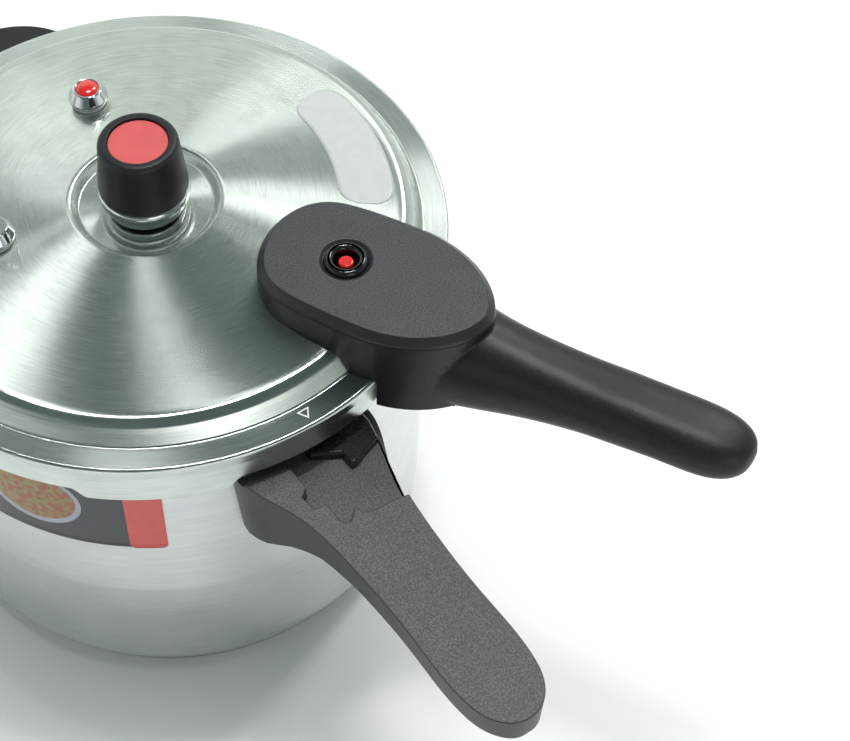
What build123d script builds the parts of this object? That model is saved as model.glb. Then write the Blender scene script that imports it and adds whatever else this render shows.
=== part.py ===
from build123d import *
import math
import os

os.makedirs("parts", exist_ok=True)

# ---------------------------------------------------------------- sizes, mm
# pot
WALL_R = 110.4
SHELL_T = 1.4
TAPER_TOP_Z = 73.5
TAPER_IN = 2.2
CORNER_R = 12.0
RIM_Z = 162.0
RIM_LIP = 1.4
RIM_H = 2.4
# sandwich base
BASE_STEP = 6.7
BASE_H = 6.0
BASE_CAP_T = 1.0
BASE_CAP_WALL = 2.6
BASE_EDGE_R = 1.8
# bayonet
LUG_COUNT = 6
LUG_DEG = 28.0
POT_LUG_REACH = 6.4
POT_LUG_H = 2.6
POT_LUG_DROP = 2.0
LUG_GAP_Z = 2.6
LUG_GAP_R = 0.7
RIM_GAP_R = 0.5
TURN_DEG = 28.0
# lid
LID_T = 1.8
FLANGE_EDGE = 0.7
FLANGE_W = 10.5
STEP_W = 9.5
SHOULDER_Z = 9.0
DOME_RISE = 7.0
DISH_R = 30.0
DISH_DEPTH = 4.0
SKIRT_STEP = 5.0
LUG_SLOPE_DEG = 3.0
# gasket
GASKET_H = 8.6
GASKET_WALL = 3.2
GASKET_LIP = 2.0
GASKET_REACH = 3.5
GASKET_GAP_R = 0.7
SEAT_GAP = 0.3
# regulator
VENT_R = 4.0
VENT_BORE_R = 1.6
VENT_COLLAR_R = 7.5
VENT_COLLAR_H = 2.6
VENT_H = 15.0
WASHER_T = 0.78
WEIGHT_GAP_Z = 1.4
WEIGHT_NECK_H = 5.8
WEIGHT_RING_H = 4.4
WEIGHT_RING_R = 18.1
WEIGHT_STEM_R = 9.0
CAP_H = 24.6
CAP_TAPER = 2.6
CAP_WALL = 2.4
DISC_T = 1.2
DISC_SINK = 1.0
DISC_FIT = 0.05
# side valves
RED_VALVE_DEG = 82.0
RELIEF_DEG = 165.0
VALVE_OUT = 30.5
VALVE_R = 8.1
VALVE_TOP_R = 5.7
VALVE_NECK_R = 6.6
VALVE_SEAL_OVER = 0.6
VALVE_NUT_GAP = 0.233
VALVE_STEM_R = 5.0
VALVE_STEM_L = 9.35
VALVE_NECK_H = 2.35
VALVE_CAP_H = 5.2
VALVE_NUT_R = 8.6
VALVE_NUT_H = 3.6
PLUNGER_R = 1.8
# lid handle
HEAD_OVER_DISH = 11.0
COVER_H = 4.0
HEAD_DROP = 15.0
HEAD_WALL = 3.0
COVER_T = 2.4
GRIP_LENGTH = 138.0
CHAMFER_W = 2.9
# indicator and lock
PIN_R = 2.4
PIN_TIP_R = 3.0
PIN_SUNK = 1.0
PIN_RISE = 4.0
PIN_FIT = 0.1
CROSS_R = 1.0
CROSS_GAP = 0.3
BEZEL_R = 8.4
BEZEL_BORE_R = 4.85
BEZEL_PROUD = 1.2
LIP_W = 1.9
BUSH_R = 5.0
BUSH_SEAT_GAP = 0.096
SLIDER_T = 1.5
SLIDER_TAIL = 1.6
SLIDER_HALF_V = 9.0
DOME_GAP = 0.63
CHEEK_GAP = 0.5
CHEEK_T = 1.5
CHEEK_OVER = 1.8
HOOK_OUT = 12.0
HOOK_L = 4.0
HOOK_V0 = 2.0
HOOK_V1 = 8.6
HOOK_GAP_Z = 1.5
SLIDE_GAP = 0.5
# pot handle
HEAD_GAP_Z = 3.5
POCKET_DEPTH = 6.0
ROOT_GAP = 0.8
UNDER_LUG_GAP = 0.7
UNDER_LUG_GAP_R = 0.4
TOOTH_GAP = 0.6
POT_HANDLE_LENGTH = 135.5
CHANNEL_ROOF = 4.0
# brackets and screws
BRACKET_T = 1.8
TONGUE_W = 18.0
TONGUE_H = 7.0
TONGUE_OUT = 32.0
HELPER_TONGUE_OUT = 22.0
SCREW_R = 2.5
SCREW_HEAD_R = 4.5
SCREW_HEAD_H = 2.8
SCREW_FIT = 0.2
SCREW_SEAT = 4.0
THREAD_FIT = 0.02
# helper handle
HELPER_GAP_Z = 2.0
HELPER_LENGTH = 37.0
HELPER_HALF_V = 36.0
FINGER_V0 = 14.0
FINGER_V1 = 27.0
FINGER_ROOF = 5.0
# labels
LABEL_T = 0.3
BODY_LABEL_H = 49.7
BODY_LABEL_DROP = 7.0
BODY_LABEL_A0 = -186.0
BODY_LABEL_A1 = -119.6
LID_LABEL_W = 22.6
LID_LABEL_INSET = 1.4
LID_LABEL_A0 = -33.6
LID_LABEL_A1 = 9.6
LID_LABEL_ROUND = 9.0

POT_HANDLE_DEG = -90.0
HELPER_DEG = 90.0

# ---------------------------------------------------------------- places that follow
# Radii are from the pot's axis. Z is from the base's underside for the pot; for the lid it is from the
# flange's top face, and zf() turns it into the pot's own height.
LID_HANDLE_DEG = POT_HANDLE_DEG + TURN_DEG
PITCH_DEG = 360.0 / LUG_COUNT
TAPER_FOOT_R = WALL_R - TAPER_IN
BASE_R = TAPER_FOOT_R - BASE_STEP
RIM_OUT_R = WALL_R + RIM_LIP
POT_LUG_R = WALL_R + POT_LUG_REACH
SKIRT_R = POT_LUG_R + LUG_GAP_R + LID_T
FLANGE_R = SKIRT_R + FLANGE_EDGE
LID_LUG_R = RIM_OUT_R + RIM_GAP_R
STEP_FOOT_R = FLANGE_R - FLANGE_W
SHOULDER_R = STEP_FOOT_R - STEP_W
FLANGE_Z = RIM_Z + SEAT_GAP + GASKET_H + SEAT_GAP + LID_T
LUG_SKIRT_H = FLANGE_Z + LID_T - (RIM_Z - POT_LUG_DROP - POT_LUG_H) + LUG_GAP_Z
SKIRT_H = LUG_SKIRT_H - SKIRT_STEP
DISH_Z = SHOULDER_Z + DOME_RISE
FLOOR_Z = DISH_Z - DISH_DEPTH
FLOOR_R = DISH_R - DISH_DEPTH
CONE_TOP_R = DISH_R + 4.0
CONE_TOP_Z = DISH_Z - 0.35
GASKET_OUT_R = SKIRT_R - LID_T - GASKET_GAP_R
GASKET_IN_R = WALL_R - SHELL_T - GASKET_REACH


def zf(z):
    return FLANGE_Z + z


def cone_z(r):
    """Height of the lid's outer skin between the dish and the shoulder."""
    return CONE_TOP_Z + (SHOULDER_Z - CONE_TOP_Z) * (r - CONE_TOP_R) / (SHOULDER_R - CONE_TOP_R)


VENT_TOP_Z = FLOOR_Z + VENT_H
WEIGHT_FOOT_Z = FLOOR_Z + WEIGHT_GAP_Z
WEIGHT_RING_Z = WEIGHT_FOOT_Z + WEIGHT_NECK_H
WEIGHT_TOP_Z = WEIGHT_RING_Z + WEIGHT_RING_H
WEIGHT_BORE_Z = VENT_TOP_Z + 4.0
WEIGHT_SCREW_Z = WEIGHT_BORE_Z + 1.6
WEIGHT_STEM_Z = WEIGHT_TOP_Z + CAP_H - 10.6
WEIGHT_R = WEIGHT_RING_R - 2.6
CAP_TOP_Z = WEIGHT_TOP_Z + CAP_H
CAP_FOOT_R = WEIGHT_RING_R - 0.3
CAP_TOP_R = CAP_FOOT_R - CAP_TAPER
DISC_R = CAP_TOP_R - 3.6
VALVE_PCR = DISH_R + VALVE_OUT
VALVE_SEAT_Z = cone_z(VALVE_PCR - VALVE_NECK_R - VALVE_SEAL_OVER) + 0.145
VALVE_FOOT_Z = VALVE_SEAT_Z + VALVE_NECK_H
VALVE_TOP_Z = VALVE_FOOT_Z + VALVE_CAP_H
VALVE_STEM_Z = VALVE_SEAT_Z - VALVE_STEM_L
HEAD_TOP_Z = DISH_Z + HEAD_OVER_DISH
SEAM_Z = HEAD_TOP_Z - COVER_H
HEAD_U = SHOULDER_R + 4.0
HANDLE_SCREW_U = HEAD_U - 31.0
COVER_SCREW_U = HEAD_U + 21.0
BULKHEAD_U = HEAD_U + 4.0
GRIP_END = FLANGE_R + GRIP_LENGTH
HANDLE_SCREW_V = 13.0
COVER_SCREW_V = 15.0
BRACKET_L = 9.0
PIN_U = HEAD_U - 14.4
PIN_TIP_Z = HEAD_TOP_Z - PIN_SUNK
BEZEL_TOP_Z = HEAD_TOP_Z + BEZEL_PROUD
LIP_R = BEZEL_R + LIP_W
SLIDER_TAIL_U = PIN_U - BUSH_R - SLIDE_GAP - SLIDER_TAIL
SLIDER_Z = cone_z(SLIDER_TAIL_U - PIN_RISE) + DOME_GAP
CROSS_Z = SLIDER_Z + SLIDER_T + CROSS_GAP + CROSS_R
BUSH_TOP_Z = CROSS_Z - CROSS_R - 0.4
BUSH_FOOT_Z = cone_z(PIN_U) - 7.55
CHEEK_V = BUSH_R + SLIDE_GAP + CHEEK_GAP
CROSS_LEN = 2 * (CHEEK_V + CHEEK_T) + 0.4
CHEEK_TOP_Z = CROSS_Z + PIN_RISE + CROSS_R + CHEEK_OVER
PILLAR_TOP_Z = SEAM_Z - 5.4
HOOK_U = FLANGE_R + HOOK_OUT
DECK_Z = zf(-HEAD_DROP - HEAD_GAP_Z)
POCKET_Z = DECK_Z - POCKET_DEPTH
HOOK_DROP = FLANGE_Z - POCKET_Z - HOOK_GAP_Z
HANDLE_ROOT_R = WALL_R + ROOT_GAP
UNDER_LUG_Z = zf(-LUG_SKIRT_H - UNDER_LUG_GAP)
UNDER_LUG_R = FLANGE_R + UNDER_LUG_GAP_R
BLOCK_Z = UNDER_LUG_Z
HELPER_Z = zf(-LUG_SKIRT_H - HELPER_GAP_Z)
POT_BRACKET_TOP = POCKET_Z - 3.0
HELPER_BRACKET_TOP = HELPER_Z - 2.5
TONGUE_END = FLANGE_R + TONGUE_OUT
HELPER_TONGUE_END = FLANGE_R + HELPER_TONGUE_OUT
POT_SCREW_U = TONGUE_END - 12.0
HELPER_SCREW_U = HELPER_TONGUE_END - 10.0
BODY_LABEL_Z1 = RIM_Z - BODY_LABEL_DROP
BODY_LABEL_Z0 = BODY_LABEL_Z1 - BODY_LABEL_H
LID_LABEL_R1 = SHOULDER_R - LID_LABEL_INSET
LID_LABEL_R0 = LID_LABEL_R1 - LID_LABEL_W


# ---------------------------------------------------------------- helpers
def turned(shape, deg):
    return shape.rotate(Axis.Z, deg)


def disc(r, z0, z1, u=0.0, v=0.0):
    return Pos(u, v, (z0 + z1) / 2) * Cylinder(r, z1 - z0)


def ring(r0, r1, z0, z1, u=0.0, v=0.0):
    return disc(r1, z0, z1, u, v) - disc(r0, z0 - 1, z1 + 1, u, v)


def block(u0, u1, v0, v1, z0, z1):
    centre = Pos((u0 + u1) / 2, (v0 + v1) / 2, (z0 + z1) / 2)
    return centre * Box(u1 - u0, v1 - v0, z1 - z0)


def hexagon(r, z0, z1, u=0.0, v=0.0):
    flat = Plane.XY.offset(z0) * Pos(u, v) * RegularPolygon(r, 6)
    return extrude(flat, z1 - z0)


def spun(points):
    """A solid of revolution about Z from a closed line of (r, z) points."""
    wire = Polyline(*[(r, 0, z) for r, z in points], close=True)
    return revolve(make_face(wire), Axis.Z)


def sector(r0, r1, z0, z1, a0, a1):
    mid = (a0 + a1) / 2
    def at(r, a):
        return (r * math.cos(math.radians(a)), r * math.sin(math.radians(a)))
    outer = ThreePointArc(at(r1, a0), at(r1, mid), at(r1, a1))
    inner = ThreePointArc(at(r0, a1), at(r0, mid), at(r0, a0))
    side_a = Line(at(r1, a1), at(r0, a1))
    side_b = Line(at(r0, a0), at(r1, a0))
    face = make_face([outer, side_a, inner, side_b])
    return extrude(Plane.XY.offset(z0) * face, z1 - z0)


def slab(points, z0, z1):
    """A flat plate with straight edges through the given (u, v) points."""
    face = make_face(Polyline(*points, close=True))
    return extrude(Plane.XY.offset(z0) * face, z1 - z0)


def smooth_outline(half):
    """A closed outline, mirrored about v = 0, from (u, v) points end to end."""
    first = Spline(*half)
    second = Spline(*[(u, -v) for u, v in reversed(half)])
    return make_face([first, second])


def side_plate(points, width):
    """A plate across v with the given closed (u, z) outline."""
    wire = Polyline(*[(u, 0, z) for u, z in points], close=True)
    face = make_face(wire)
    return extrude(face, width / 2, dir=(0, 1, 0), both=True)


def beyond(points):
    """(u, v) points whose u is given from the lid's edge outwards, as distances from the axis."""
    return [(FLANGE_R + u, v) for u, v in points]


def repeat(shape, count):
    step = 360.0 / count
    return [turned(shape, step * n) for n in range(count)]


def save(name, shape):
    if isinstance(shape, (list, tuple)):
        shape = Compound(children=list(shape))
    export_step(shape, "parts/" + name + ".step")


# ---------------------------------------------------------------- pot
def corner_points(r, z, radius, steps=10):
    out = []
    for n in range(steps + 1):
        a = -math.pi / 2 + math.pi / 2 * n / steps
        out.append((r + radius * math.cos(a), z + radius * math.sin(a)))
    return out


def pot_shell():
    cr = TAPER_FOOT_R - CORNER_R
    cz = BASE_H + CORNER_R
    outer = [(0, BASE_H)] + corner_points(cr, cz, CORNER_R)
    outer += [(WALL_R, TAPER_TOP_Z), (WALL_R, RIM_Z)]
    inner = [(WALL_R - SHELL_T, RIM_Z), (WALL_R - SHELL_T, TAPER_TOP_Z)]
    inner += list(reversed(corner_points(cr, cz, CORNER_R - SHELL_T)))
    inner += [(0, BASE_H + SHELL_T)]
    body = spun(outer + inner)
    body += ring(WALL_R - 0.4, RIM_OUT_R, RIM_Z - RIM_H, RIM_Z)
    top = RIM_Z - POT_LUG_DROP
    start = POT_HANDLE_DEG - LUG_DEG / 2
    lug = sector(WALL_R - 0.4, POT_LUG_R, top - POT_LUG_H, top, start, start + LUG_DEG)
    for each in repeat(lug, LUG_COUNT):
        body += each
    return body


def base_core():
    return disc(BASE_R - BASE_CAP_WALL, BASE_CAP_T, BASE_H)


def base_cap():
    cr = TAPER_FOOT_R - CORNER_R
    cz = BASE_H + CORNER_R

    def under_corner(r):
        return cz - math.sqrt(CORNER_R ** 2 - (r - cr) ** 2) - 0.15

    inside = BASE_R - BASE_CAP_WALL
    e = BASE_EDGE_R
    points = [(0, 0), (BASE_R - e, 0), (BASE_R - 0.3 * e, 0.3 * e), (BASE_R, e)]
    points += [(BASE_R, under_corner(BASE_R)), (inside, under_corner(inside))]
    points += [(inside, BASE_CAP_T), (0, BASE_CAP_T)]
    return spun(points)


def body_label():
    low, high = BODY_LABEL_Z0, BODY_LABEL_Z1
    return sector(WALL_R + 0.02, WALL_R + 0.02 + LABEL_T, low, high, BODY_LABEL_A0, BODY_LABEL_A1)


def wall_bracket(end, top, half_deg=11.0, height=26.0):
    """A curved plate spot-welded to the wall, with a tongue into the handle."""
    r0 = WALL_R + 0.02
    plate = sector(r0, r0 + BRACKET_T, top - height, top, -half_deg, half_deg)
    z1 = top - 6.0
    return plate + block(r0 + 0.5, end, -TONGUE_W / 2, TONGUE_W / 2, z1 - TONGUE_H, z1)


def bracket_room(end, top, half_deg=11.0, height=26.0):
    gap = 0.2
    r0 = WALL_R - 2.0
    r1 = WALL_R + 0.02 + BRACKET_T + gap
    room = sector(r0, r1, top - height - gap, top + gap, -half_deg - 0.3, half_deg + 0.3)
    z1 = top - 6.0
    half = TONGUE_W / 2 + gap
    return room + block(WALL_R, end + gap, -half, half, z1 - TONGUE_H - gap, z1 + gap)


def screw_up(u, v, z_head, z_tip, r=SCREW_R):
    """A pan-head screw driven upward, with a cross recess in its head."""
    body = disc(r, z_head, z_tip, u, v) + disc(SCREW_HEAD_R, z_head - SCREW_HEAD_H, z_head, u, v)
    low = z_head - SCREW_HEAD_H
    cross = block(u - 2.6, u + 2.6, v - 0.5, v + 0.5, low - 0.1, low + 1.4)
    cross += block(u - 0.5, u + 0.5, v - 2.6, v + 2.6, low - 0.1, low + 1.4)
    return body - cross


def pot_handle_plan(inset):
    root = HANDLE_ROOT_R - 4.0 - FLANGE_R
    line = [(root, 30.5), (0, 29.5), (11, 25.2), (23, 20.8), (36, 18.4), (55, 16.7)]
    line += [(85, 15.9), (POT_HANDLE_LENGTH - 19.5, 15.6), (POT_HANDLE_LENGTH - 8.5, 12.6)]
    half = [(u, v - inset) for u, v in line]
    half += [(POT_HANDLE_LENGTH - 2.5, 7.6 - inset * 0.8), (POT_HANDLE_LENGTH - inset * 0.6, 0)]
    return closed_plan(beyond(half))


def closed_plan(half):
    """A face from half an outline, mirrored about v = 0, with a straight edge at its root."""
    top = Spline(*half)
    low = Spline(*[(u, -v) for u, v in reversed(half)])
    shut = Line((half[0][0], -half[0][1]), (half[0][0], half[0][1]))
    return make_face([top, low, shut])


def pot_handle_side():
    """The handle's side view: (u from the lid's edge, depth below the deck)."""
    line = [(-20, -1), (POT_HANDLE_LENGTH + 5, -1), (POT_HANDLE_LENGTH + 5, 12.5), (115, 13.5), (80, 14.5)]
    line += [(50, 16), (30, 20.5), (14, 29), (2, 38), (-8, 42), (-20, 42)]
    return [(FLANGE_R + u, DECK_Z - down) for u, down in line]


def pocket_plan():
    """The pocket that the lid's handle sits over when the lid is shut."""
    line = [(-20, 40), (35, 40), (35, 18.0), (34.0, 12.0), (33.6, 3.6), (32.0, 0.2), (28.0, -1.6)]
    line += [(33.0, -6.2), (31.2, -9.2), (21.2, -9.4), (20.6, -14.4), (13.8, -15.2)]
    line += [(11.0, -11.6), (-20, -11.6)]
    return beyond(line)


def pot_handle():
    low = DECK_Z - 62.5
    top_face = Plane.XY.offset(DECK_Z) * pot_handle_plan(0.0)
    low_face = Plane.XY.offset(low) * pot_handle_plan(5.0)
    body = loft([low_face, top_face])
    body = body & side_plate(pot_handle_side(), 90)
    body -= slab(pocket_plan(), POCKET_Z, DECK_Z + 2)
    body -= disc(UNDER_LUG_R, UNDER_LUG_Z, DECK_Z + 2)
    body -= disc(HANDLE_ROOT_R, low - 12, DECK_Z + 2)
    body -= bracket_room(TONGUE_END, POT_BRACKET_TOP)
    # a channel under the grip, open downward, keeps the moulding's walls even
    channel_low = Plane.XY.offset(low) * channel_plan()
    channel_top = Plane.XY.offset(DECK_Z - CHANNEL_ROOF) * channel_plan()
    body -= loft([channel_low, channel_top])
    z = tongue_low(POT_BRACKET_TOP)
    body -= disc(SCREW_R + SCREW_FIT, z - 40, z + 2, POT_SCREW_U)
    body -= disc(SCREW_HEAD_R + 2 * SCREW_FIT, z - 60, z - SCREW_SEAT, POT_SCREW_U)
    return body


def channel_plan():
    half = beyond([(44, 8.6), (60, 8.4), (85, 8.0), (108, 7.4), (121, 4.6)])
    top = Spline(*half)
    low = Spline(*[(u, -v) for u, v in reversed(half)])
    end = Line((half[-1][0], half[-1][1]), (half[-1][0], -half[-1][1]))
    shut = Line((half[0][0], -half[0][1]), (half[0][0], half[0][1]))
    return make_face([top, end, low, shut])


def tongue_low(top):
    return top - 6.0 - TONGUE_H


def catch_block():
    """The smooth block whose far tooth stands beside the lid's hook when the lid is shut."""
    tooth_v = HOOK_V1 + TOOTH_GAP
    reach = HOOK_U - 1.0
    near = FLANGE_R - 1.7
    points = [
        (HANDLE_ROOT_R + 1.6, -1.5),
        (near, -1.5),
        (near + (tooth_v + 1.5) * 0.55, tooth_v),
        (reach - 0.4, tooth_v),
        (reach - 0.6, tooth_v + 3.2),
        (FLANGE_R + 8.3, 16.8),
        (FLANGE_R + 5.6, 24.6),
        (HANDLE_ROOT_R + 6.0, 26.4),
        (HANDLE_ROOT_R + 1.6, 26.0),
    ]
    body = slab(points, POCKET_Z + 0.02, BLOCK_Z)
    return chamfer(body.faces().sort_by(Axis.Z)[-1].edges(), 0.8)


def helper_plan(inset):
    root = HANDLE_ROOT_R - 4.0 - FLANGE_R
    ends = [(root, 1.0), (4, 0.0), (14, 1.6), (23, 6.5), (30, 14.0), (HELPER_LENGTH - 2.4, 23.0)]
    half = [(u, HELPER_HALF_V - drop - inset) for u, drop in ends]
    return closed_plan(beyond(half + [(HELPER_LENGTH - inset, 0)]))


def helper_handle():
    low = HELPER_Z - 51.0
    body = loft([Plane.XY.offset(low) * helper_plan(4.0), Plane.XY.offset(HELPER_Z) * helper_plan(0.0)])
    side = [(-20, -1), (42, -1), (42, 12), (30, 14), (16, 20), (2, 30), (-8, 34), (-20, 34)]
    body = body & side_plate([(FLANGE_R + u, HELPER_Z - down) for u, down in side], 120)
    body -= disc(HANDLE_ROOT_R, low - 20, HELPER_Z + 2)
    body -= bracket_room(HELPER_TONGUE_END, HELPER_BRACKET_TOP)
    # finger hollows under both ends of the ear
    u0, u1 = FLANGE_R + 2.0, FLANGE_R + 22.0
    for sign in (1, -1):
        v0, v1 = sorted((sign * FINGER_V0, sign * FINGER_V1))
        body -= block(u0, u1, v0, v1, low - 10, HELPER_Z - FINGER_ROOF)
    z = tongue_low(HELPER_BRACKET_TOP)
    body -= disc(SCREW_R + SCREW_FIT, z - 40, z + 2, HELPER_SCREW_U)
    body -= disc(SCREW_HEAD_R + 2 * SCREW_FIT, z - 60, z - SCREW_SEAT, HELPER_SCREW_U)
    return body


def threaded(u, top):
    """The screw's thread runs on into the bracket tongue."""
    low = tongue_low(top)
    return screw_up(u, 0, low - SCREW_SEAT, low + TONGUE_H - 1.0)


def tapped_bracket(end, top, u):
    low = tongue_low(top)
    return wall_bracket(end, top) - disc(SCREW_R + THREAD_FIT, low - 1, low + TONGUE_H - 0.8, u)


# ---------------------------------------------------------------- lid
def lid_profile():
    """Outer skin from the axis to the foot of the skirt, as (r, z)."""
    skin = [(0, FLOOR_Z), (FLOOR_R, FLOOR_Z), (FLOOR_R + 1.0, FLOOR_Z + 0.4)]
    skin += [(FLOOR_R + 2.2, FLOOR_Z + 2.2), (DISH_R - 0.9, DISH_Z - 0.5), (DISH_R, DISH_Z - 0.1)]
    skin += [(DISH_R + 1.6, DISH_Z), (CONE_TOP_R, CONE_TOP_Z)]
    skin += [(SHOULDER_R, SHOULDER_Z), (SHOULDER_R + 3.4, SHOULDER_Z - 0.9)]
    skin += [(SHOULDER_R + 6.0, SHOULDER_Z - 2.9), (SHOULDER_R + 7.6, SHOULDER_Z - 5.4)]
    skin += [(STEP_FOOT_R - 0.8, 1.3), (STEP_FOOT_R, 0.25), (STEP_FOOT_R + 1.0, 0.0)]
    skin += [(FLANGE_R - 1.6, 0.0), (FLANGE_R - 0.5, -0.4), (FLANGE_R, -1.4)]
    skin += [(SKIRT_R + 0.3, -4.0), (SKIRT_R, -7.0)]
    return [(r, zf(z)) for r, z in skin]


def inner_profile():
    """The same skin offset inward by the sheet thickness."""
    t = LID_T
    skin = [(0, FLOOR_Z - t), (FLOOR_R + 0.6, FLOOR_Z - t), (FLOOR_R + 2.4, FLOOR_Z - t + 0.6)]
    skin += [(FLOOR_R + 4.0, FLOOR_Z + 1.2), (DISH_R + 1.2, DISH_Z - t - 0.5)]
    skin += [(DISH_R + 3.6, DISH_Z - t - 0.4)]
    skin += [(SHOULDER_R - 0.4, SHOULDER_Z - t), (SHOULDER_R + 2.4, SHOULDER_Z - t - 0.8)]
    skin += [(SHOULDER_R + 4.4, SHOULDER_Z - t - 2.4), (SHOULDER_R + 5.8, SHOULDER_Z - t - 4.6)]
    skin += [(STEP_FOOT_R - 2.6, 0.2), (STEP_FOOT_R - 1.6, -1.2), (STEP_FOOT_R, -t)]
    skin += [(FLANGE_R - 3.2, -t), (SKIRT_R - t, -t - 1.0), (SKIRT_R - t, -7.0)]
    return [(r, zf(z)) for r, z in skin]


def skirt_low_angles():
    """Start and end bearing of each long part of the skirt."""
    first = POT_HANDLE_DEG - PITCH_DEG / 2 - LUG_DEG / 2
    return first, first + LUG_DEG


def lid_shell():
    t, low = LID_T, zf(-LUG_SKIRT_H)
    line = lid_profile() + [(SKIRT_R, low), (LID_LUG_R, low), (LID_LUG_R, low + t)]
    line += [(SKIRT_R - t, low + t)]
    body = spun(line + list(reversed(inner_profile())))
    # between the lugs the lip is cut away and the skirt is shorter
    a0, a1 = skirt_low_angles()
    b0, b1 = a1, a0 + PITCH_DEG
    short = zf(-SKIRT_H)
    mid = (short + low) / 2
    gap = sector(LID_LUG_R - 2, SKIRT_R - t + 0.01, low - 1, low + t + 0.2, b0, b1)
    more = LUG_SLOPE_DEG
    gap += sector(SKIRT_R - t - 1, SKIRT_R + 2, low - 1, mid, b0 + more / 2, b1 - more / 2)
    gap += sector(SKIRT_R - t - 1, SKIRT_R + 2, low - 1, short, b0 + more, b1 - more)
    for each in repeat(gap, LUG_COUNT):
        body -= each
    body -= disc(VENT_R + 0.15, zf(0), zf(30))
    for deg in (RED_VALVE_DEG, RELIEF_DEG):
        body -= turned(disc(VALVE_STEM_R + 0.15, zf(0), zf(30), VALVE_PCR), deg)
    body -= turned(disc(BUSH_R - 0.35, zf(0), zf(30), PIN_U), LID_HANDLE_DEG)
    return body


def lid_label():
    skin = spun(
        [
            (LID_LABEL_R0 - 4, zf(cone_z(LID_LABEL_R0 - 4) + 0.03)),
            (SHOULDER_R, zf(SHOULDER_Z + 0.03)),
            (SHOULDER_R, zf(SHOULDER_Z + 0.03 + LABEL_T)),
            (LID_LABEL_R0 - 4, zf(cone_z(LID_LABEL_R0 - 4) + 0.03 + LABEL_T)),
        ]
    )
    plan = sector(LID_LABEL_R0, LID_LABEL_R1, zf(0), zf(20), LID_LABEL_A0, LID_LABEL_A1)
    upright = plan.edges().filter_by(Axis.Z)
    plan = fillet(upright, LID_LABEL_ROUND)
    return plan & skin


def gasket():
    z0 = RIM_Z + SEAT_GAP
    z1 = zf(-LID_T) - SEAT_GAP
    outer = ring(GASKET_OUT_R - GASKET_WALL, GASKET_OUT_R, z0, z1)
    lower = ring(GASKET_IN_R, GASKET_OUT_R - GASKET_WALL + 0.2, z0, z0 + GASKET_LIP)
    upper_r = STEP_FOOT_R + 0.6
    upper = ring(upper_r, GASKET_OUT_R - GASKET_WALL + 0.2, z1 - GASKET_LIP, z1)
    return outer + lower + upper


# ---------------------------------------------------------------- regulator
def vent_pipe():
    low, floor = zf(FLOOR_Z - LID_T - 9.0), zf(FLOOR_Z)
    body = disc(VENT_R, low, zf(VENT_TOP_Z - 2.0))
    body += Pos(0, 0, zf(VENT_TOP_Z - 1.0)) * Cone(VENT_R, VENT_BORE_R + 0.9, 2.0)
    seat = floor + WASHER_T + 0.04
    body += hexagon(VENT_COLLAR_R, seat, seat + VENT_COLLAR_H)
    return body - disc(VENT_BORE_R, low - 1, zf(VENT_TOP_Z) + 1)


def vent_washer():
    return ring(VENT_R + 0.02, VENT_COLLAR_R, zf(FLOOR_Z) + 0.02, zf(FLOOR_Z) + 0.02 + WASHER_T)


def vent_nut():
    top = zf(FLOOR_Z - LID_T) - 0.05
    body = hexagon(VENT_COLLAR_R, top - 3.2, top)
    return body - disc(VENT_R + 0.02, top - 5, top + 1)


def vent_screen():
    """A pierced cup that keeps food out of the vent."""
    top = zf(FLOOR_Z - LID_T) - 3.4
    low = top - 11.0
    r = 10.5
    cup = disc(r, low, top) - disc(r - 0.9, low + 0.9, top - 0.9)
    cup -= disc(VENT_R + 0.05, top - 3, top + 1)
    hole = Pos(r, 0, low + 6.0) * Rot(0, 90, 0) * Cylinder(1.3, 6)
    for n in range(8):
        cup -= turned(hole, 45 * n)
    for n in range(6):
        cup -= turned(disc(1.1, low - 1, low + 2, 6.0), 60 * n)
    return cup


def regulator_body():
    foot, neck, top = zf(WEIGHT_FOOT_Z), zf(WEIGHT_RING_Z), zf(WEIGHT_TOP_Z)
    points = [
        (VENT_COLLAR_R + 1.5, foot),
        (WEIGHT_R - 0.8, foot),
        (WEIGHT_R, foot + 0.8),
        (WEIGHT_R, neck - 0.6),
        (WEIGHT_R + 0.5, neck),
        (WEIGHT_RING_R - 0.9, neck),
        (WEIGHT_RING_R, neck + 1.0),
        (WEIGHT_RING_R, top - 1.0),
        (WEIGHT_RING_R - 0.9, top),
        (WEIGHT_STEM_R, top),
        (WEIGHT_STEM_R, zf(WEIGHT_STEM_Z)),
        (0, zf(WEIGHT_STEM_Z)),
        (0, zf(WEIGHT_BORE_Z)),
        (VENT_R + 0.6, zf(WEIGHT_BORE_Z)),
        (VENT_R + 0.6, foot + 3.6),
        (VENT_COLLAR_R + 1.5, foot + 3.6),
    ]
    tapped = disc(SCREW_R - 0.5 + THREAD_FIT, zf(WEIGHT_SCREW_Z) - 0.5, zf(WEIGHT_STEM_Z) + 1)
    return spun(points) - tapped


def regulator_needle():
    """The pin in the weight that closes the vent."""
    top = zf(WEIGHT_BORE_Z) - 0.02
    body = disc(VENT_R, top - 1.8, top)
    return body + Pos(0, 0, top - 2.7) * Cone(0.7, VENT_R - 1.0, 1.8)


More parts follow.
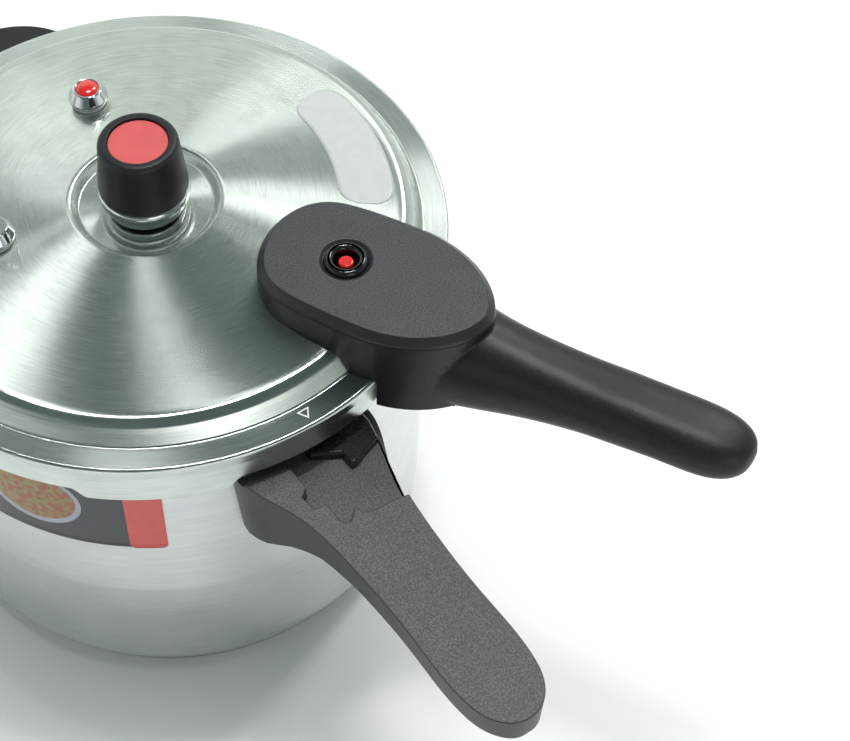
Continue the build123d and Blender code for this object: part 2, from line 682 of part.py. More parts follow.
def regulator_cap():
    low, top = zf(WEIGHT_TOP_Z) + 0.02, zf(CAP_TOP_Z)
    sink = top - DISC_SINK - DISC_T
    points = [
        (CAP_FOOT_R - 0.6, low),
        (CAP_FOOT_R, low + 0.6),
        (CAP_TOP_R + 0.25, top - 2.4),
        (CAP_TOP_R - 0.3, top - 0.9),
        (CAP_TOP_R - 1.3, top - 0.1),
        (CAP_TOP_R - 2.1, top),
        (DISC_R + 0.5, top - 0.5),
        (DISC_R + DISC_FIT, top - DISC_SINK),
        (DISC_R + DISC_FIT, sink),
        (0, sink),
        (0, sink - CAP_WALL),
        (CAP_TOP_R - CAP_WALL, sink - CAP_WALL),
        (CAP_FOOT_R - CAP_WALL, low + 6.0),
        (CAP_FOOT_R - CAP_WALL, low),
    ]
    body = spun(points)
    post_low = zf(WEIGHT_STEM_Z) + 0.02
    body += disc(7.0, post_low, sink - 0.5)
    body -= disc(SCREW_R - 0.5 + THREAD_FIT, post_low - 1, sink + 1)
    return body - disc(4.2, sink - 2.2, sink + 1)


def regulator_disc():
    top = zf(CAP_TOP_Z) - DISC_SINK
    return disc(DISC_R, top - DISC_T + 0.02, top)


def regulator_screw():
    sink = zf(CAP_TOP_Z) - DISC_SINK - DISC_T
    body = disc(SCREW_R - 0.5, zf(WEIGHT_SCREW_Z), sink - 2.1)
    return body + disc(4.0, sink - 2.18, sink - 0.1)


# ---------------------------------------------------------------- side valves
def on_valve(shape, deg):
    return turned(Pos(VALVE_PCR, 0, 0) * shape, deg)


def valve_cap_points():
    neck, foot, top = zf(VALVE_SEAT_Z + 0.9), zf(VALVE_FOOT_Z), zf(VALVE_TOP_Z)
    return [
        (VALVE_NECK_R, neck),
        (VALVE_NECK_R, foot - 0.5),
        (VALVE_R - 0.7, foot),
        (VALVE_R, foot + 0.7),
        (VALVE_TOP_R + 0.5, top - 0.5),
        (VALVE_TOP_R, top),
    ]


def valve_seal():
    low = zf(VALVE_SEAT_Z) - 0.02
    return ring(VALVE_STEM_R + 0.02, VALVE_NECK_R + VALVE_SEAL_OVER, low, low + 0.9)


def valve_nut():
    top = zf(cone_z(VALVE_PCR + VALVE_NUT_R) - LID_T) - VALVE_NUT_GAP
    body = hexagon(VALVE_NUT_R, top - VALVE_NUT_H, top)
    return body - disc(VALVE_STEM_R + 0.02, top - 9, top + 1)


def safety_housing():
    low = zf(VALVE_STEM_Z)
    bore = VALVE_TOP_R - 0.9
    points = [(3.0, low), (VALVE_STEM_R, low), (VALVE_STEM_R, zf(VALVE_SEAT_Z + 0.9))]
    points += valve_cap_points()
    points += [(bore, zf(VALVE_TOP_Z)), (bore, zf(VALVE_TOP_Z - 3.4)), (3.0, zf(VALVE_TOP_Z - 3.4))]
    return spun(points)


def safety_plug():
    """The red fusible button that shows in the top of its housing."""
    r = VALVE_TOP_R - 0.95
    seat, rim = zf(VALVE_TOP_Z - 3.38), zf(VALVE_TOP_Z - 0.3)
    points = [(0, seat - 6.0), (2.9, seat - 6.0), (2.9, seat), (r, seat), (r, rim)]
    for n in range(1, 7):
        a = math.pi / 2 * n / 6
        points.append((r * math.cos(a), rim + 1.7 * math.sin(a)))
    points[-1] = (0, rim + 1.7)
    return spun(points)


def relief_housing():
    low = zf(VALVE_STEM_Z)
    top = zf(VALVE_TOP_Z)
    points = [(2.4, low), (VALVE_STEM_R, low), (VALVE_STEM_R, zf(VALVE_SEAT_Z + 0.9))]
    points += valve_cap_points()
    points += [(PLUNGER_R + 0.1, top), (PLUNGER_R + 0.1, top - 1.4), (4.2, top - 1.4)]
    points += [(4.2, zf(VALVE_STEM_Z + 2.0)), (2.4, zf(VALVE_STEM_Z + 2.0))]
    body = spun(points)
    side = Pos(0, 0, top - 2.9) * Rot(0, 90, 0) * Cylinder(0.7, 20)
    return body - side - side.rotate(Axis.Z, 90)


def relief_plunger():
    low = zf(VALVE_STEM_Z + 2.3)
    body = disc(PLUNGER_R, low, zf(VALVE_TOP_Z + 0.6))
    return body + disc(3.8, low, low + 1.6)


def relief_spring():
    low = zf(VALVE_STEM_Z + 2.3) + 1.6 + 0.35
    high = zf(VALVE_TOP_Z - 1.4) - 0.35
    path = Helix(pitch=(high - low) / 5.0, height=high - low, radius=3.0)
    start = path @ 0
    section = Plane(origin=start, z_dir=path % 0) * Circle(0.3)
    return Pos(0, 0, low) * sweep(section, path=path, is_frenet=True)


# ---------------------------------------------------------------- lid handle
# half of the head's outline, as (u from its widest place, v)
HEAD_LINE = [(-48.6, 0), (-47.4, 8.2), (-43.4, 17.6), (-36.0, 24.4), (-24.0, 27.8), (-12.0, 28.7), (0, 29.0)]
HEAD_LINE += [(12.0, 28.4), (22.0, 26.0), (32.0, 21.2), (40.0, 14.6), (45.4, 6.6), (47.2, 0)]
HEAD_HALF = [(HEAD_U + u, v) for u, v in HEAD_LINE]


def head_outline(inset):
    """The head's outline, drawn in by the same amount all round."""
    half = []
    for n, (u, v) in enumerate(HEAD_HALF):
        a = HEAD_HALF[max(n - 1, 0)]
        b = HEAD_HALF[min(n + 1, len(HEAD_HALF) - 1)]
        du, dv = b[0] - a[0], b[1] - a[1]
        if n == 0:
            du, dv = 0.0, 1.0
        if n == len(HEAD_HALF) - 1:
            du, dv = 0.0, -1.0
        size = math.hypot(du, dv)
        pu, pv = u + inset * dv / size, v - inset * du / size
        if n in (0, len(HEAD_HALF) - 1):
            pv = 0.0
        half.append((pu, pv))
    return smooth_outline(half)


def head_prism(inset, z0, z1):
    return extrude(Plane.XY.offset(zf(z0)) * head_outline(inset), z1 - z0)


def grip_section(u, half, low, top):
    """One cross-section of the grip: flat underneath, domed on top."""
    h = top - low
    face_line = Line((u, -0.8 * half, low), (u, 0.8 * half, low))
    dome = Spline(
        (u, 0.8 * half, low),
        (u, 0.98 * half, low + 0.22 * h),
        (u, 0.97 * half, low + 0.55 * h),
        (u, 0.72 * half, low + 0.86 * h),
        (u, 0, top),
        (u, -0.72 * half, low + 0.86 * h),
        (u, -0.97 * half, low + 0.55 * h),
        (u, -0.98 * half, low + 0.22 * h),
        (u, -0.8 * half, low),
    )
    return make_face([face_line, dome])


# the grip's sections, as (u from the lid's edge, half width, low z, top z)
GRIP_STATIONS = [
    (8, 24.4, -15.0, 22.9),
    (20, 19.2, -15.0, 22.3),
    (30, 16.8, -14.4, 20.6),
    (42, 15.4, -11.6, 18.9),
    (58, 14.6, -7.4, 17.6),
    (78, 14.3, -3.6, 17.1),
    (100, 14.3, -1.4, 17.2),
    (GRIP_LENGTH - 20, 14.2, -0.6, 17.0),
    (GRIP_LENGTH - 10, 12.6, 0.2, 16.0),
    (GRIP_LENGTH - 4, 9.4, 1.8, 14.2),
    (GRIP_LENGTH - 1, 5.4, 3.8, 12.0),
]


def grip():
    faces = [grip_section(FLANGE_R + u, h, zf(a), zf(b)) for u, h, a, b in GRIP_STATIONS]
    body = loft(faces)
    tip = grip_section(GRIP_END, 2.4, zf(6.0), zf(9.8))
    return body + loft([faces[-1], tip])


def lid_room():
    """Everything the lid itself fills, with a small gap over it."""
    gap = 0.25
    line = [(0, zf(-40))] + [(r, z + gap) for r, z in lid_profile()]
    tail = [(FLANGE_R + gap, zf(-1.4)), (FLANGE_R + gap, zf(-40))]
    line = [(r, z) for r, z in line if z > zf(-1.3) or r == 0]
    return spun(line + tail)


def lid_handle():
    body = head_prism(0.0, -HEAD_DROP, SEAM_Z) + grip()
    body -= lid_room()
    inner = head_prism(HEAD_WALL, -HEAD_DROP + 3.0, SEAM_Z + 1.0)
    inner -= block(HEAD_U + 34.0, HEAD_U + 56.0, -40, 40, zf(-HEAD_DROP), zf(SEAM_Z + 2))
    # guide wall with a window for the lock slider
    wall = block(BULKHEAD_U, BULKHEAD_U + 3.0, -40, 40, zf(-HEAD_DROP), zf(SEAM_Z - 0.5))
    gap = 0.3
    z0, z1 = zf(SLIDER_Z) - gap, zf(SLIDER_Z + SLIDER_T) + gap
    wall -= block(BULKHEAD_U - 1, BULKHEAD_U + 4, -SLIDER_HALF_V - gap, SLIDER_HALF_V + gap, z0, z1)
    inner -= wall
    # pillars that the screws go through, webbed to the side walls
    for sign in (1, -1):
        v0, v1 = sorted((sign * HANDLE_SCREW_V, sign * (HANDLE_SCREW_V + 14)))
        inner -= disc(5.2, zf(-20), zf(PILLAR_TOP_Z), HANDLE_SCREW_U, sign * HANDLE_SCREW_V)
        inner -= block(HANDLE_SCREW_U - 2, HANDLE_SCREW_U + 2, v0, v1, zf(10), zf(PILLAR_TOP_Z))
        inner -= disc(5.2, zf(-20), zf(SEAM_Z - 0.5), COVER_SCREW_U, sign * COVER_SCREW_V)
    body -= inner
    for sign in (1, -1):
        v = sign * HANDLE_SCREW_V
        body -= disc(SCREW_R + SCREW_FIT, zf(0), zf(30), HANDLE_SCREW_U, v)
        half = BRACKET_L / 2 + 0.4
        v0, v1 = sorted((0, sign * (HANDLE_SCREW_V + 5.2)))
        top = cone_z(HANDLE_SCREW_U - half) + BRACKET_T + 0.5
        body -= block(HANDLE_SCREW_U - half, HANDLE_SCREW_U + half, v0, v1, zf(0), zf(top))
        v = sign * COVER_SCREW_V
        body -= disc(SCREW_R + SCREW_FIT, zf(-20), zf(30), COVER_SCREW_U, v)
        body -= disc(SCREW_HEAD_R + 2 * SCREW_FIT, zf(-20), zf(-HEAD_DROP + SCREW_SEAT), COVER_SCREW_U, v)
    u0 = HOOK_U - PIN_RISE - SLIDE_GAP
    u1 = HOOK_U + HOOK_L + SLIDE_GAP
    body -= block(u0, u1, HOOK_V0 - SLIDE_GAP, HOOK_V1 + SLIDE_GAP, zf(-HEAD_DROP - 1), zf(-HEAD_DROP + 4.0))
    return body


def lid_handle_cover():
    low = Plane.XY.offset(zf(SEAM_Z + 0.02)) * head_outline(0.0)
    mid = Plane.XY.offset(zf(SEAM_Z + 1.2)) * head_outline(0.2)
    top = Plane.XY.offset(zf(HEAD_TOP_Z)) * head_outline(CHAMFER_W)
    body = loft([low, mid], ruled=True) + loft([mid, top], ruled=True)
    body -= head_prism(HEAD_WALL + 1.2, SEAM_Z - 1.0, HEAD_TOP_Z - COVER_T)
    for sign in (1, -1):
        v = sign * COVER_SCREW_V
        body += disc(5.0, zf(SEAM_Z + 0.02), zf(HEAD_TOP_Z - 1.0), COVER_SCREW_U, v)
        body -= disc(SCREW_R + THREAD_FIT, zf(SEAM_Z - 1), zf(HEAD_TOP_Z - 1.2), COVER_SCREW_U, v)
    body -= disc(BEZEL_R + 0.05, zf(SEAM_Z - 1), zf(HEAD_TOP_Z + 1), PIN_U)
    lip = Pos(PIN_U, 0, zf(HEAD_TOP_Z) - 0.5) * Cone(BEZEL_R + 0.6, LIP_R + 0.1, 1.2)
    return body - lip


def indicator_bezel():
    low, top = zf(SEAM_Z + 0.3), zf(BEZEL_TOP_Z)
    mid = (BEZEL_BORE_R + BEZEL_R) / 2
    points = [(BEZEL_BORE_R, low), (BEZEL_R, low), (BEZEL_R, top - 2.0)]
    points += [(BEZEL_R - 0.5, top - 0.9), (BEZEL_R - 1.2, top - 0.2), (mid, top)]
    points += [(BEZEL_BORE_R + 0.9, top - 0.4), (BEZEL_BORE_R + 0.2, top - 1.2), (BEZEL_BORE_R, top - 2.2)]
    return Pos(PIN_U, 0, 0) * spun(points)


def lid_bracket():
    """Folded steel foot welded to the lid under the head."""
    slope = math.degrees(math.atan2(cone_z(0) - cone_z(100), 100.0))
    u, foot = HANDLE_SCREW_U, zf(cone_z(HANDLE_SCREW_U))
    plate = Box(BRACKET_L, 2 * HANDLE_SCREW_V + 9, BRACKET_T)
    base = Pos(u, 0, foot + BRACKET_T / 2 + 0.12) * Rot(0, slope, 0) * plate
    body = base
    for sign in (1, -1):
        body -= disc(SCREW_R + THREAD_FIT, zf(0), zf(30), u, sign * HANDLE_SCREW_V)
    return body


def lid_handle_screw(v):
    """Driven down through the handle's pillar into the bracket."""
    u, seat = HANDLE_SCREW_U, zf(PILLAR_TOP_Z) + 0.02
    tip = zf(cone_z(HANDLE_SCREW_U)) + 0.5
    body = disc(SCREW_R, tip, seat, u, v) + disc(SCREW_HEAD_R, seat, seat + SCREW_HEAD_H, u, v)
    high = seat + SCREW_HEAD_H
    cross = block(u - 2.6, u + 2.6, v - 0.5, v + 0.5, high - 1.4, high + 0.1)
    cross += block(u - 0.5, u + 0.5, v - 2.6, v + 2.6, high - 1.4, high + 0.1)
    return body - cross


def cover_screw(v):
    return screw_up(COVER_SCREW_U, v, zf(-HEAD_DROP + SCREW_SEAT) - 0.02, zf(HEAD_TOP_Z - 2.0))


# ---------------------------------------------------------------- indicator and lock
def float_bush():
    """Steel guide through the lid, threaded below for its nut."""
    seat = zf(cone_z(PIN_U - BUSH_R)) + BUSH_SEAT_GAP
    body = disc(BUSH_R, seat, zf(BUSH_TOP_Z), PIN_U)
    body += disc(BUSH_R - 0.5, zf(BUSH_FOOT_Z), seat + 0.1, PIN_U)
    return body - disc(PIN_R + PIN_FIT, zf(0), zf(20), PIN_U)


def float_nut():
    top = zf(cone_z(PIN_U + BUSH_R + 3) - LID_T) - 0.4
    body = hexagon(7.0, top - 3.0, top, PIN_U)
    return body - disc(BUSH_R - 0.48, top - 8, top + 1, PIN_U)


def indicator_pin():
    low = zf(BUSH_FOOT_Z - SEAT_GAP - PIN_RISE - 1.6)
    body = disc(PIN_R, low - 1.0, zf(PIN_TIP_Z - 4.0), PIN_U)
    body += disc(5.2, low - 2.4, low, PIN_U)
    cross = Pos(PIN_U, 0, zf(CROSS_Z)) * Rot(90, 0, 0) * Cylinder(CROSS_R, CROSS_LEN)
    return body + cross


def indicator_tip():
    r, top = PIN_TIP_R, zf(PIN_TIP_Z)
    points = [(0, top - 3.98), (r, top - 3.98), (r, top - 0.9), (r - 0.3, top - 0.3)]
    points += [(r - 1.0, top), (0, top)]
    return Pos(PIN_U, 0, 0) * spun(points)


def float_seal():
    top = zf(BUSH_FOOT_Z - SEAT_GAP - PIN_RISE)
    return ring(PIN_R + 0.02, 4.6, top - 1.58, top, PIN_U)


def lock_slider():
    z0, z1 = zf(SLIDER_Z), zf(SLIDER_Z + SLIDER_T)
    half = SLIDER_HALF_V
    body = block(SLIDER_TAIL_U, HOOK_U + HOOK_L, -half, half, z0, z1)
    room = BUSH_R + SLIDE_GAP
    body -= block(PIN_U - room, PIN_U + room + PIN_RISE, -room, room, z0 - 1, z1 + 1)
    for sign in (1, -1):
        v0, v1 = sorted((sign * CHEEK_V, sign * (CHEEK_V + CHEEK_T)))
        body += block(PIN_U - 4.5, PIN_U + PIN_RISE + 4.5, v0, v1, z1 - 0.1, zf(CHEEK_TOP_Z))
    # sloping slot that turns the float's rise into the slider's travel
    w = CROSS_R + PIN_FIT
    a = Pos(PIN_U, 0, zf(CROSS_Z)) * Rot(90, 0, 0) * Cylinder(w, 30)
    b = Pos(PIN_U + PIN_RISE, 0, zf(CROSS_Z + PIN_RISE)) * Rot(90, 0, 0) * Cylinder(w, 30)
    span = math.hypot(PIN_RISE, PIN_RISE)
    mid = Pos(PIN_U + PIN_RISE / 2, 0, zf(CROSS_Z + PIN_RISE / 2)) * Rot(0, -45, 0) * Box(span, 30, 2 * w)
    body = body - a - b - mid
    body += block(HOOK_U, HOOK_U + HOOK_L, HOOK_V0, HOOK_V1, zf(-HOOK_DROP), z1)
    return body


# ---------------------------------------------------------------- write the files
def main():
    d = POT_HANDLE_DEG
    save("pot_shell", pot_shell())
    save("base_core", base_core())
    save("base_cap", base_cap())
    save("body_label", body_label())
    save("pot_handle_bracket", turned(tapped_bracket(TONGUE_END, POT_BRACKET_TOP, POT_SCREW_U), d))
    save("pot_handle", turned(pot_handle(), d))
    save("catch_block", turned(catch_block(), d))
    save("pot_handle_screw", turned(threaded(POT_SCREW_U, POT_BRACKET_TOP), d))
    d = HELPER_DEG
    helper = tapped_bracket(HELPER_TONGUE_END, HELPER_BRACKET_TOP, HELPER_SCREW_U)
    save("helper_bracket", turned(helper, d))
    save("helper_handle", turned(helper_handle(), d))
    save("helper_screw", turned(threaded(HELPER_SCREW_U, HELPER_BRACKET_TOP), d))
    save("gasket", gasket())
    save("lid_shell", lid_shell())
    save("lid_label", lid_label())
    save("vent_pipe", vent_pipe())
    save("vent_washer", vent_washer())
    save("vent_nut", vent_nut())
    save("vent_screen", vent_screen())
    save("regulator_body", regulator_body())
    save("regulator_needle", regulator_needle())
    save("regulator_cap", regulator_cap())
    save("regulator_disc", regulator_disc())
    save("regulator_screw", regulator_screw())
    both = (RED_VALVE_DEG, RELIEF_DEG)
    save("valve_seals", [on_valve(valve_seal(), a) for a in both])
    save("valve_nuts", [on_valve(valve_nut(), a) for a in both])
    save("safety_housing", on_valve(safety_housing(), RED_VALVE_DEG))
    save("safety_plug", on_valve(safety_plug(), RED_VALVE_DEG))
    save("relief_housing", on_valve(relief_housing(), RELIEF_DEG))
    save("relief_plunger", on_valve(relief_plunger(), RELIEF_DEG))
    save("relief_spring", on_valve(relief_spring(), RELIEF_DEG))
    d = LID_HANDLE_DEG
    save("lid_bracket", turned(lid_bracket(), d))
    save("lid_handle", turned(lid_handle(), d))
    save("lid_handle_cover", turned(lid_handle_cover(), d))
    save("indicator_bezel", turned(indicator_bezel(), d))
    pair = (HANDLE_SCREW_V, -HANDLE_SCREW_V)
    save("lid_handle_screws", [turned(lid_handle_screw(v), d) for v in pair])
    pair = (COVER_SCREW_V, -COVER_SCREW_V)
    save("cover_screws", [turned(cover_screw(v), d) for v in pair])
    save("float_bush", turned(float_bush(), d))
    save("float_nut", turned(float_nut(), d))
    save("indicator_pin", turned(indicator_pin(), d))
    save("indicator_tip", turned(indicator_tip(), d))
    save("float_seal", turned(float_seal(), d))
    save("lock_slider", turned(lock_slider(), d))


main()
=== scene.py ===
import math

import bmesh
import bpy
import numpy as np
from mathutils import Matrix, Vector


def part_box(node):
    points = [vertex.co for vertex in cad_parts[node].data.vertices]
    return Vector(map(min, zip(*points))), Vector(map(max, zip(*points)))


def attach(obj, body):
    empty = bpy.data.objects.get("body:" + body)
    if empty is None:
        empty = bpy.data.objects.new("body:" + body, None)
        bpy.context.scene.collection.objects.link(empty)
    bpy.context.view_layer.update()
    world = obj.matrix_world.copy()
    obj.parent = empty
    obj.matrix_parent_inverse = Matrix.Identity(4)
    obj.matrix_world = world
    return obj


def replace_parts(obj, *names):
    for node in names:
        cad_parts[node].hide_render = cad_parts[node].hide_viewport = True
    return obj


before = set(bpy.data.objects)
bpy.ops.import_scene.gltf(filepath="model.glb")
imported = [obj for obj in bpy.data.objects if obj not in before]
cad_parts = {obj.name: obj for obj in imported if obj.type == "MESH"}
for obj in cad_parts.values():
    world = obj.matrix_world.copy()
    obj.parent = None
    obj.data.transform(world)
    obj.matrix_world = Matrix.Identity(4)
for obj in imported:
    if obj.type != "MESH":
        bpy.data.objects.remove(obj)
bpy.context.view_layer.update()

MM = 0.001


# ---------------------------------------------------------------- camera
# A viewer beside the two long handles looks down on the lid from about an arm's length.
# A long lens keeps the round lid's outline close to a true ellipse.
CAMERA_AT = (-0.2308, -0.5042, 0.8035)
CAMERA_PAN = math.radians(11.59)
CAMERA_TILT = math.radians(53.14)
CAMERA_ROLL = math.radians(1.25)
CAMERA_TURN = math.radians(-24.6)
CAMERA_LENS = 88.0


def camera_axes(pan, tilt, roll, turn):
    """Right, up and back of a camera that is turned by pan and turn about Z, tilted down, then rolled."""
    forward = Vector((math.sin(pan) * math.cos(tilt), math.cos(pan) * math.cos(tilt), -math.sin(tilt)))
    right = Vector((math.cos(pan), -math.sin(pan), 0))
    up = right.cross(forward)
    rolled_right = right * math.cos(roll) + up * math.sin(roll)
    rolled_up = up * math.cos(roll) - right * math.sin(roll)
    about_z = Matrix.Rotation(turn, 3, "Z")
    return about_z @ rolled_right, about_z @ rolled_up, about_z @ (-forward)


camera = bpy.data.objects.new("camera", bpy.data.cameras.new("camera"))
bpy.context.scene.collection.objects.link(camera)
camera.data.lens = CAMERA_LENS
camera.data.sensor_width = 36.0
camera.data.sensor_fit = "HORIZONTAL"
axes = camera_axes(CAMERA_PAN, CAMERA_TILT, CAMERA_ROLL, CAMERA_TURN)
camera.matrix_world = Matrix.Translation(CAMERA_AT) @ Matrix(axes).transposed().to_4x4()
bpy.context.scene.camera = camera


# ---------------------------------------------------------------- pot shell
# A deep-drawn stainless pan. Its wall is straight above a faint crease and tapers slightly below it.
# The rim is rolled thick, and six bayonet lugs are pressed out just under it.
POT_R = 110.4
POT_SHEET = 1.4
POT_CREASE_Z = 73.5
POT_FOOT_R = 108.2
POT_FLOOR_Z = 6.0
RIM_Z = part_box("pot_shell")[1].z / MM
RIM_R = 111.8
LUG_OUT_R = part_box("pot_shell")[1].x / MM
LUG_TOP_Z = RIM_Z - 2.0
LUG_T = 2.6
LUG_DEG = 28.0
LUG_COUNT = 6
LUG_PITCH = 360.0 / LUG_COUNT


def rounded(corners, steps=4):
    """A closed line from (r, z, radius) corners, in mm. Each corner becomes an arc of its radius between
    its two tangent points, with one spare point just outside each end that keeps the flats flat."""
    line = np.array(corners, float)
    point, radius = line[:, :2], line[:, 2:3]
    back = np.roll(point, 1, 0) - point
    on = np.roll(point, -1, 0) - point
    back /= np.linalg.norm(back, axis=1, keepdims=True)
    on /= np.linalg.norm(on, axis=1, keepdims=True)
    half = np.arccos(np.clip((back * on).sum(1, keepdims=True), -1, 1)) / 2
    tangent = radius / np.tan(half)
    middle = back + on
    size = np.linalg.norm(middle, axis=1, keepdims=True)
    middle = np.where(size > 1e-6, middle / np.maximum(size, 1e-6), 0)
    centre = point + middle * radius / np.sin(half)
    start = point + back * tangent - centre
    side = point + on * tangent - centre
    side -= start * (start * side).sum(1, keepdims=True) / np.maximum((start**2).sum(1, keepdims=True), 1e-12)
    side *= radius / np.maximum(np.linalg.norm(side, axis=1, keepdims=True), 1e-9)
    turn = (math.pi - 2 * half) * np.linspace(0, 1, steps + 1)
    arc = centre[:, None] + start[:, None] * np.cos(turn)[..., None] + side[:, None] * np.sin(turn)[..., None]
    spare = tangent + 0.3 * radius
    ends = (point + back * spare)[:, None], (point + on * spare)[:, None]
    return np.concatenate([ends[0], arc, ends[1]], 1).reshape(-1, 2)


def grid_faces(rows, columns, close_rows, close_columns):
    """Quads between neighbouring points of a rows by columns grid, wrapped round where it is closed."""
    i = np.arange(rows if close_rows else rows - 1)[:, None]
    j = np.arange(columns if close_columns else columns - 1)[None, :]
    a, b = i * columns + j, ((i + 1) % rows) * columns + j
    c, d = ((i + 1) % rows) * columns + (j + 1) % columns, i * columns + (j + 1) % columns
    return np.stack([a, b, c, d], -1).reshape(-1, 4)


def place(name, points, faces, material, body, smooth_deg=40.0):
    """A piece from points in mm and faces: doubles merged, faces turned outwards, edges sharper than
    smooth_deg kept crisp, then it rides on its body."""
    mesh = bpy.data.meshes.new(name)
    mesh.from_pydata((np.asarray(points).reshape(-1, 3) * MM).tolist(), [], [list(f) for f in faces])
    shape = bmesh.new()
    shape.from_mesh(mesh)
    bmesh.ops.remove_doubles(shape, verts=shape.verts, dist=2e-6)
    bmesh.ops.dissolve_degenerate(shape, edges=shape.edges, dist=1e-6)
    bmesh.ops.recalc_face_normals(shape, faces=shape.faces)
    shape.to_mesh(mesh)
    shape.free()
    mesh.polygons.foreach_set("use_smooth", np.ones(len(mesh.polygons), bool))
    mesh.set_sharp_from_angle(angle=math.radians(smooth_deg))
    mesh.materials.append(material)
    piece = bpy.data.objects.new(name, mesh)
    bpy.context.scene.collection.objects.link(piece)
    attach(piece, body)
    return piece


def spun(name, line, material, body, centre=(0.0, 0.0), around=256):
    """A closed (r, z) line turned round the upright axis at centre: x = r cos a, y = r sin a. The line may
    change with the bearing, as an array of one line for each column."""
    angle = np.linspace(0, 2 * math.pi, around, endpoint=False)
    line = np.asarray(line)
    if line.ndim == 2:
        line = np.repeat(line[:, None], around, 1)
    r, z = line[..., 0], line[..., 1]
    points = np.stack([centre[0] + r * np.cos(angle), centre[1] + r * np.sin(angle), z], -1)
    return place(name, points, grid_faces(*r.shape, True, True), material, body)


def arc_bars(name, line, starts, sweep, material, body, steps=24):
    """Short bars that follow a circle: a closed (r, z) line carried from each start bearing through sweep
    degrees, with both ends closed."""
    line = np.asarray(line)
    count = len(line)
    points, faces = [], []
    for n, first in enumerate(starts):
        angle = np.radians(first + np.linspace(0, sweep, steps + 1))
        x = line[:, :1] * np.cos(angle)
        y = line[:, :1] * np.sin(angle)
        points.append(np.stack([x, y, np.repeat(line[:, 1:], steps + 1, 1)], -1).reshape(-1, 3))
        offset = n * count * (steps + 1)
        faces += (grid_faces(count, steps + 1, True, False) + offset).tolist()
        faces.append((offset + np.arange(count) * (steps + 1)).tolist())
        faces.append((offset + np.arange(count) * (steps + 1) + steps).tolist())
    return place(name, np.concatenate(points), faces, material, body)


def node_group(name, inputs, outputs):
    """An empty shader group with named float inputs and named float outputs."""
    group = bpy.data.node_groups.new(name, "ShaderNodeTree")
    for label, value in inputs:
        socket = group.interface.new_socket(label, in_out="INPUT", socket_type="NodeSocketFloat")
        socket.default_value = value
    for label in outputs:
        group.interface.new_socket(label, in_out="OUTPUT", socket_type="NodeSocketFloat")
    return group, group.nodes.new("NodeGroupInput"), group.nodes.new("NodeGroupOutput")


def add_node(tree, kind, **settings):
    """A new node of a kind, with its properties set by name and its inputs by number, as in in0=value."""
    node = tree.nodes.new(kind)
    for key, value in settings.items():
        if key.startswith("in") and key[2:].isdigit():
            target = node.inputs[int(key[2:])]
            if isinstance(value, bpy.types.NodeSocket):
                tree.links.new(value, target)
            else:
                target.default_value = value
        else:
            setattr(node, key, value)
    return node


def maths(tree, operation, a, b=0.0):
    """One maths node's output."""
    return add_node(tree, "ShaderNodeMath", operation=operation, in0=a, in1=b).outputs[0]


def lathe_lines_group():
    """Fine lines that run round the Z axis: noise that changes fast with r minus z and slowly with the
    bearing."""
    inputs = [("Lines", 1500.0), ("Streaks", 6.0)]
    group, given, out = node_group("lathe_lines", inputs, ["Line", "Broad"])
    place_on = add_node(group, "ShaderNodeTexCoord").outputs["Object"]
    split = add_node(group, "ShaderNodeSeparateXYZ", in0=place_on).outputs
    flat = add_node(group, "ShaderNodeCombineXYZ", in0=split[0], in1=split[1]).outputs[0]
    length = add_node(group, "ShaderNodeVectorMath", operation="LENGTH", in0=flat).outputs[1]
    bearing = add_node(group, "ShaderNodeVectorMath", operation="NORMALIZE", in0=flat).outputs[0]
    round_it = add_node(group, "ShaderNodeVectorMath", operation="SCALE", in0=bearing)
    group.links.new(given.outputs["Streaks"], round_it.inputs["Scale"])
    turned = add_node(group, "ShaderNodeSeparateXYZ", in0=round_it.outputs[0]).outputs
    across = maths(group, "SUBTRACT", length, split[2])
    for label, share, detail in (("Line", 1.0, 3.0), ("Broad", 0.06, 2.0)):
        step = maths(group, "MULTIPLY", given.outputs["Lines"], share)
        height = maths(group, "MULTIPLY", across, step)
        where = add_node(group, "ShaderNodeCombineXYZ", in0=turned[0], in1=turned[1], in2=height).outputs[0]
        noise = add_node(group, "ShaderNodeTexNoise", in0=where)
        noise.inputs["Scale"].default_value = 1.0
        noise.inputs["Detail"].default_value = detail
        group.links.new(noise.outputs[0], out.inputs[label])
    return group


def handling_group():
    """Soft cloudy smudges left by hands and cloths, from 0 for clean to 1 for the dullest patch."""
    group, given, out = node_group("handling_marks", [("Size", 14.0)], ["Smudge"])
    place_on = add_node(group, "ShaderNodeTexCoord").outputs["Object"]
    noise = add_node(group, "ShaderNodeTexNoise", in0=place_on)
    group.links.new(given.outputs["Size"], noise.inputs["Scale"])
    noise.inputs["Detail"].default_value = 4.0
    noise.inputs["Distortion"].default_value = 0.6
    soft = add_node(group, "ShaderNodeMapRange", in0=noise.outputs[0], in1=0.42, in2=0.72)
    group.links.new(soft.outputs[0], out.inputs["Smudge"])
    return group


lathe_lines = lathe_lines_group()
handling_marks = handling_group()


def new_material(name, metallic, specular=0.5):
    """A node material with a bare Principled shader, returned with its tree and shader."""
    material = bpy.data.materials.new(name)
    material.use_nodes = True
    shader = material.node_tree.nodes["Principled BSDF"]
    shader.inputs["Metallic"].default_value = metallic
    shader.inputs["Specular IOR Level"].default_value = specular
    return material, material.node_tree, shader


def place_group(tree, group, **values):
    """A group node with its named inputs set."""
    node = add_node(tree, "ShaderNodeGroup", node_tree=group)
    for label, value in values.items():
        node.inputs[label].default_value = value
    return node.outputs


def span(tree, value, low, high):
    """A mask from 0 to 1 stretched to run from low to high."""
    return add_node(tree, "ShaderNodeMapRange", in0=value, in3=low, in4=high).outputs[0]


